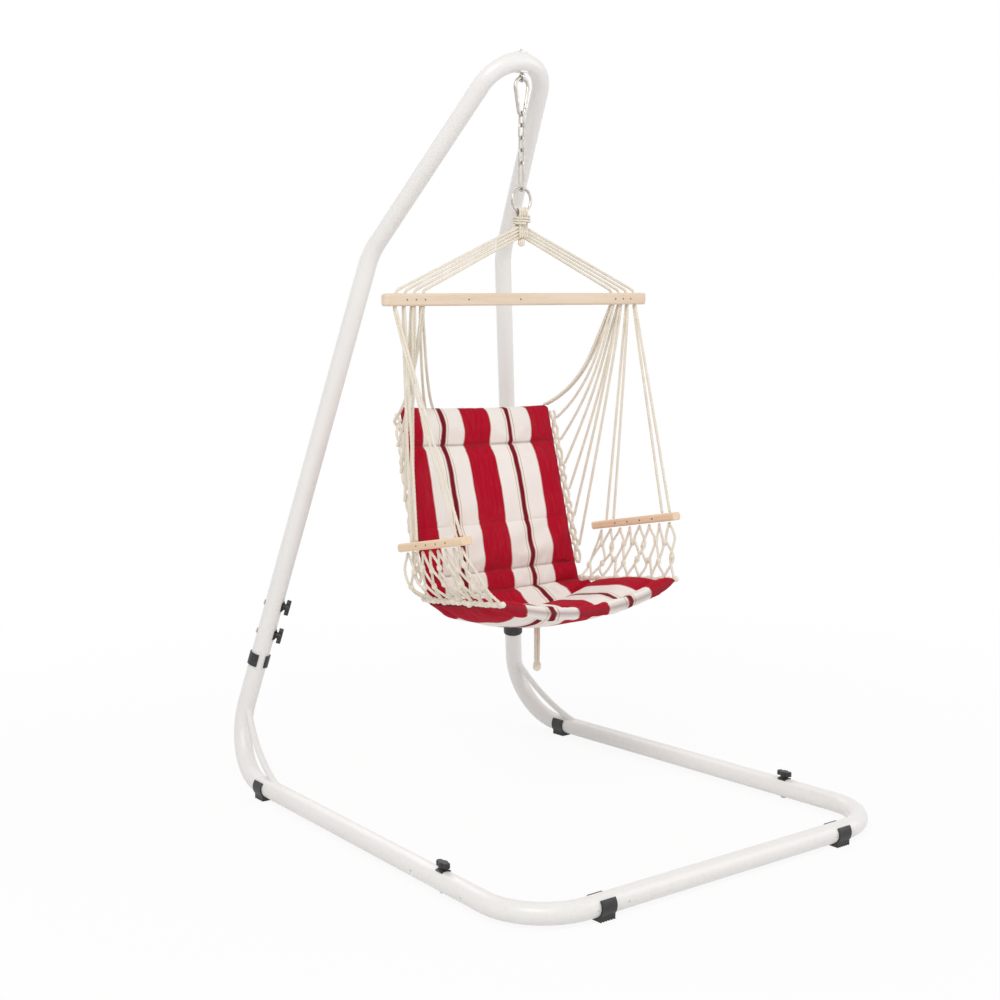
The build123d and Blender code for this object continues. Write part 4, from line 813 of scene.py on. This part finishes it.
# Back cords: four from each inner hole of the bar, the upper ones slack. Two are sewn to the pad's top
# hem, and six are knotted to the edge net, one below the other.
tie_sets = np.array([0.040, 0.105, 0.175, 0.250, 0.330, 0.415])
sags = (0.058, 0.056, 0.052, 0.044, 0.034, 0.026, 0.016, 0.010)
top_insets = {"left": np.array([0.122, 0.095]), "right": np.array([0.013, 0.004])}
for side_name, inset in top_insets.items():
    side = -1 if side_name == "left" else 1
    starts = [(x, i, j) for x in hole_xs[:2] for j in (1, -1) for i in (-1, 1)]
    sewn_to = pad_place(np.zeros(2), side * (top_half - inset) / top_half, np.zeros(2))
    tied_to = pad_place(tie_sets, np.full(6, float(side)), np.zeros(6)) + [side * 0.0245, 0.0, 0.0]
    for number, ((x, i, j), end, sag) in enumerate(zip(starts, np.r_[sewn_to, tied_to], sags)):
        hole = np.array([side * (x + i * 0.0024), hang_y + j * 0.0024, bar_bottom + 0.001])
        head = np.array([side * (x + i * 0.0049), hang_y + j * 0.0049, bar_bottom - 0.008])
        low = (head + end) / 2 - np.array([0.0, 0.0, 1.6 * sag])
        line = cord_line([hole, head, low, end])
        strand = make_piece(f"back_cord_{side_name}_{number + 1}", [rope_tube(line, cord_size)], cotton)
        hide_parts(f"back_cords_{side_name}")
        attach(strand, "chair")

# Tail: the two spare ends under the seat, hanging from its seam and knotted together at the tip.
# They are thicker than the other cords, and lie side by side down to the knot, which is drawn long.
tail_y = hang_y - 0.069
tail_size = 0.009
for sense in (-1, 1):
    spread = ((0.0048, 0.51), (0.0056, 0.45), (0.0042, 0.395))
    hanging = cord_line([(sense * off, tail_y, z) for off, z in spread])
    piece = make_piece(f"tail_{'a' if sense < 0 else 'b'}", [rope_tube(hanging, tail_size)], cotton)
    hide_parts("tail_cord")
    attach(piece, "chair")
knot_shape = knot_ball((0.0, tail_y, 0.3895), (0.0, 0.0, 1.0), 0.0225, 20, 15)
tail_knot = make_piece("tail_knot", [knot_shape], cotton)
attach(tail_knot, "chair")

# Stage: a white floor that keeps a soft shadow, a white sky, three large soft lamps, and the camera
# at the photograph's view, which looks 7.3 degrees down and 38.2 degrees to the right.
floor_mesh = bpy.data.meshes.new("floor")
floor_mesh.from_pydata([(-30, -30, 0), (30, -30, 0), (30, 30, 0), (-30, 30, 0)], [], [(0, 1, 2, 3)])
floor = bpy.data.objects.new("floor", floor_mesh)
bpy.context.scene.collection.objects.link(floor)
floor_paint = bpy.data.materials.new("floor_paint")
floor_paint.use_nodes = True
tree = floor_paint.node_tree
tree.nodes.clear()
out = tree.nodes.new("ShaderNodeOutputMaterial")
matt = tree.nodes.new("ShaderNodeBsdfDiffuse")
matt.inputs["Color"].default_value = (0.86, 0.86, 0.86, 1.0)
glow = tree.nodes.new("ShaderNodeEmission")
glow.inputs["Strength"].default_value = 1.0
rays = tree.nodes.new("ShaderNodeLightPath").outputs
seen = add_math(tree, "MAXIMUM", rays["Is Camera Ray"], rays["Is Glossy Ray"])
ground = tree.nodes.new("ShaderNodeTexCoord").outputs["Object"]
distance = tree.nodes.new("ShaderNodeVectorMath")
distance.operation = "LENGTH"
tree.links.new(ground, distance.inputs[0])
seen = add_math(tree, "MULTIPLY", seen, add_range(tree, distance.outputs["Value"], 1.0, 3.2, 0.9, 1.0))
blend = tree.nodes.new("ShaderNodeMixShader")
tree.links.new(seen, blend.inputs["Fac"])
tree.links.new(matt.outputs["BSDF"], blend.inputs[1])
tree.links.new(glow.outputs["Emission"], blend.inputs[2])
tree.links.new(blend.outputs["Shader"], out.inputs["Surface"])
floor_mesh.materials.append(floor_paint)

sky = bpy.data.worlds.new("sky")
bpy.context.scene.world = sky
sky.use_nodes = True
tree = sky.node_tree
tree.nodes.clear()
out = tree.nodes.new("ShaderNodeOutputWorld")
shown = tree.nodes.new("ShaderNodeBackground")
shown.inputs["Color"].default_value = (1.0, 1.0, 1.0, 1.0)
shown.inputs["Strength"].default_value = 1.0
lit = tree.nodes.new("ShaderNodeBackground")
lit.inputs["Color"].default_value = (1.0, 0.985, 0.965, 1.0)
lit.inputs["Strength"].default_value = 0.6
rays = tree.nodes.new("ShaderNodeLightPath").outputs
seen = add_math(tree, "MAXIMUM", rays["Is Camera Ray"], rays["Is Glossy Ray"])
seen = add_math(tree, "MAXIMUM", seen, rays["Is Transmission Ray"])
blend = tree.nodes.new("ShaderNodeMixShader")
tree.links.new(seen, blend.inputs["Fac"])
tree.links.new(lit.outputs["Background"], blend.inputs[1])
tree.links.new(shown.outputs["Background"], blend.inputs[2])
tree.links.new(blend.outputs["Shader"], out.inputs["Surface"])

lamps = (
    ("key", (-3.2, -2.6, 4.2), 2.6, 106.0),
    ("fill", (3.4, -3.0, 2.6), 3.0, 46.0),
    ("rear", (0.5, 4.0, 3.6), 3.0, 49.0),
)
lamp_target = np.array([0.0, 0.0, 0.9])
for name, spot, size, power in lamps:
    lamp = bpy.data.lights.new(name, "AREA")
    lamp.size = size
    lamp.energy = power
    holder = bpy.data.objects.new(name, lamp)
    holder.location = spot
    aim = lamp_target - np.array(spot)
    holder.rotation_euler = (
        math.atan2(math.hypot(aim[0], aim[1]), -aim[2]),
        0.0,
        math.atan2(aim[1], aim[0]) - math.pi / 2,
    )
    bpy.context.scene.collection.objects.link(holder)

camera = bpy.data.cameras.new("camera")
camera.sensor_width = 36.0
camera.lens = 59.04
camera.clip_end = 200.0
eye = bpy.data.objects.new("camera", camera)
eye.location = (-2.736, -3.319, 1.389)
eye.rotation_euler = (math.radians(90 - 7.31), 0.0, math.radians(-38.2))
bpy.context.scene.collection.objects.link(eye)
bpy.context.scene.camera = eye
bpy.context.scene.view_settings.view_transform = "Standard"
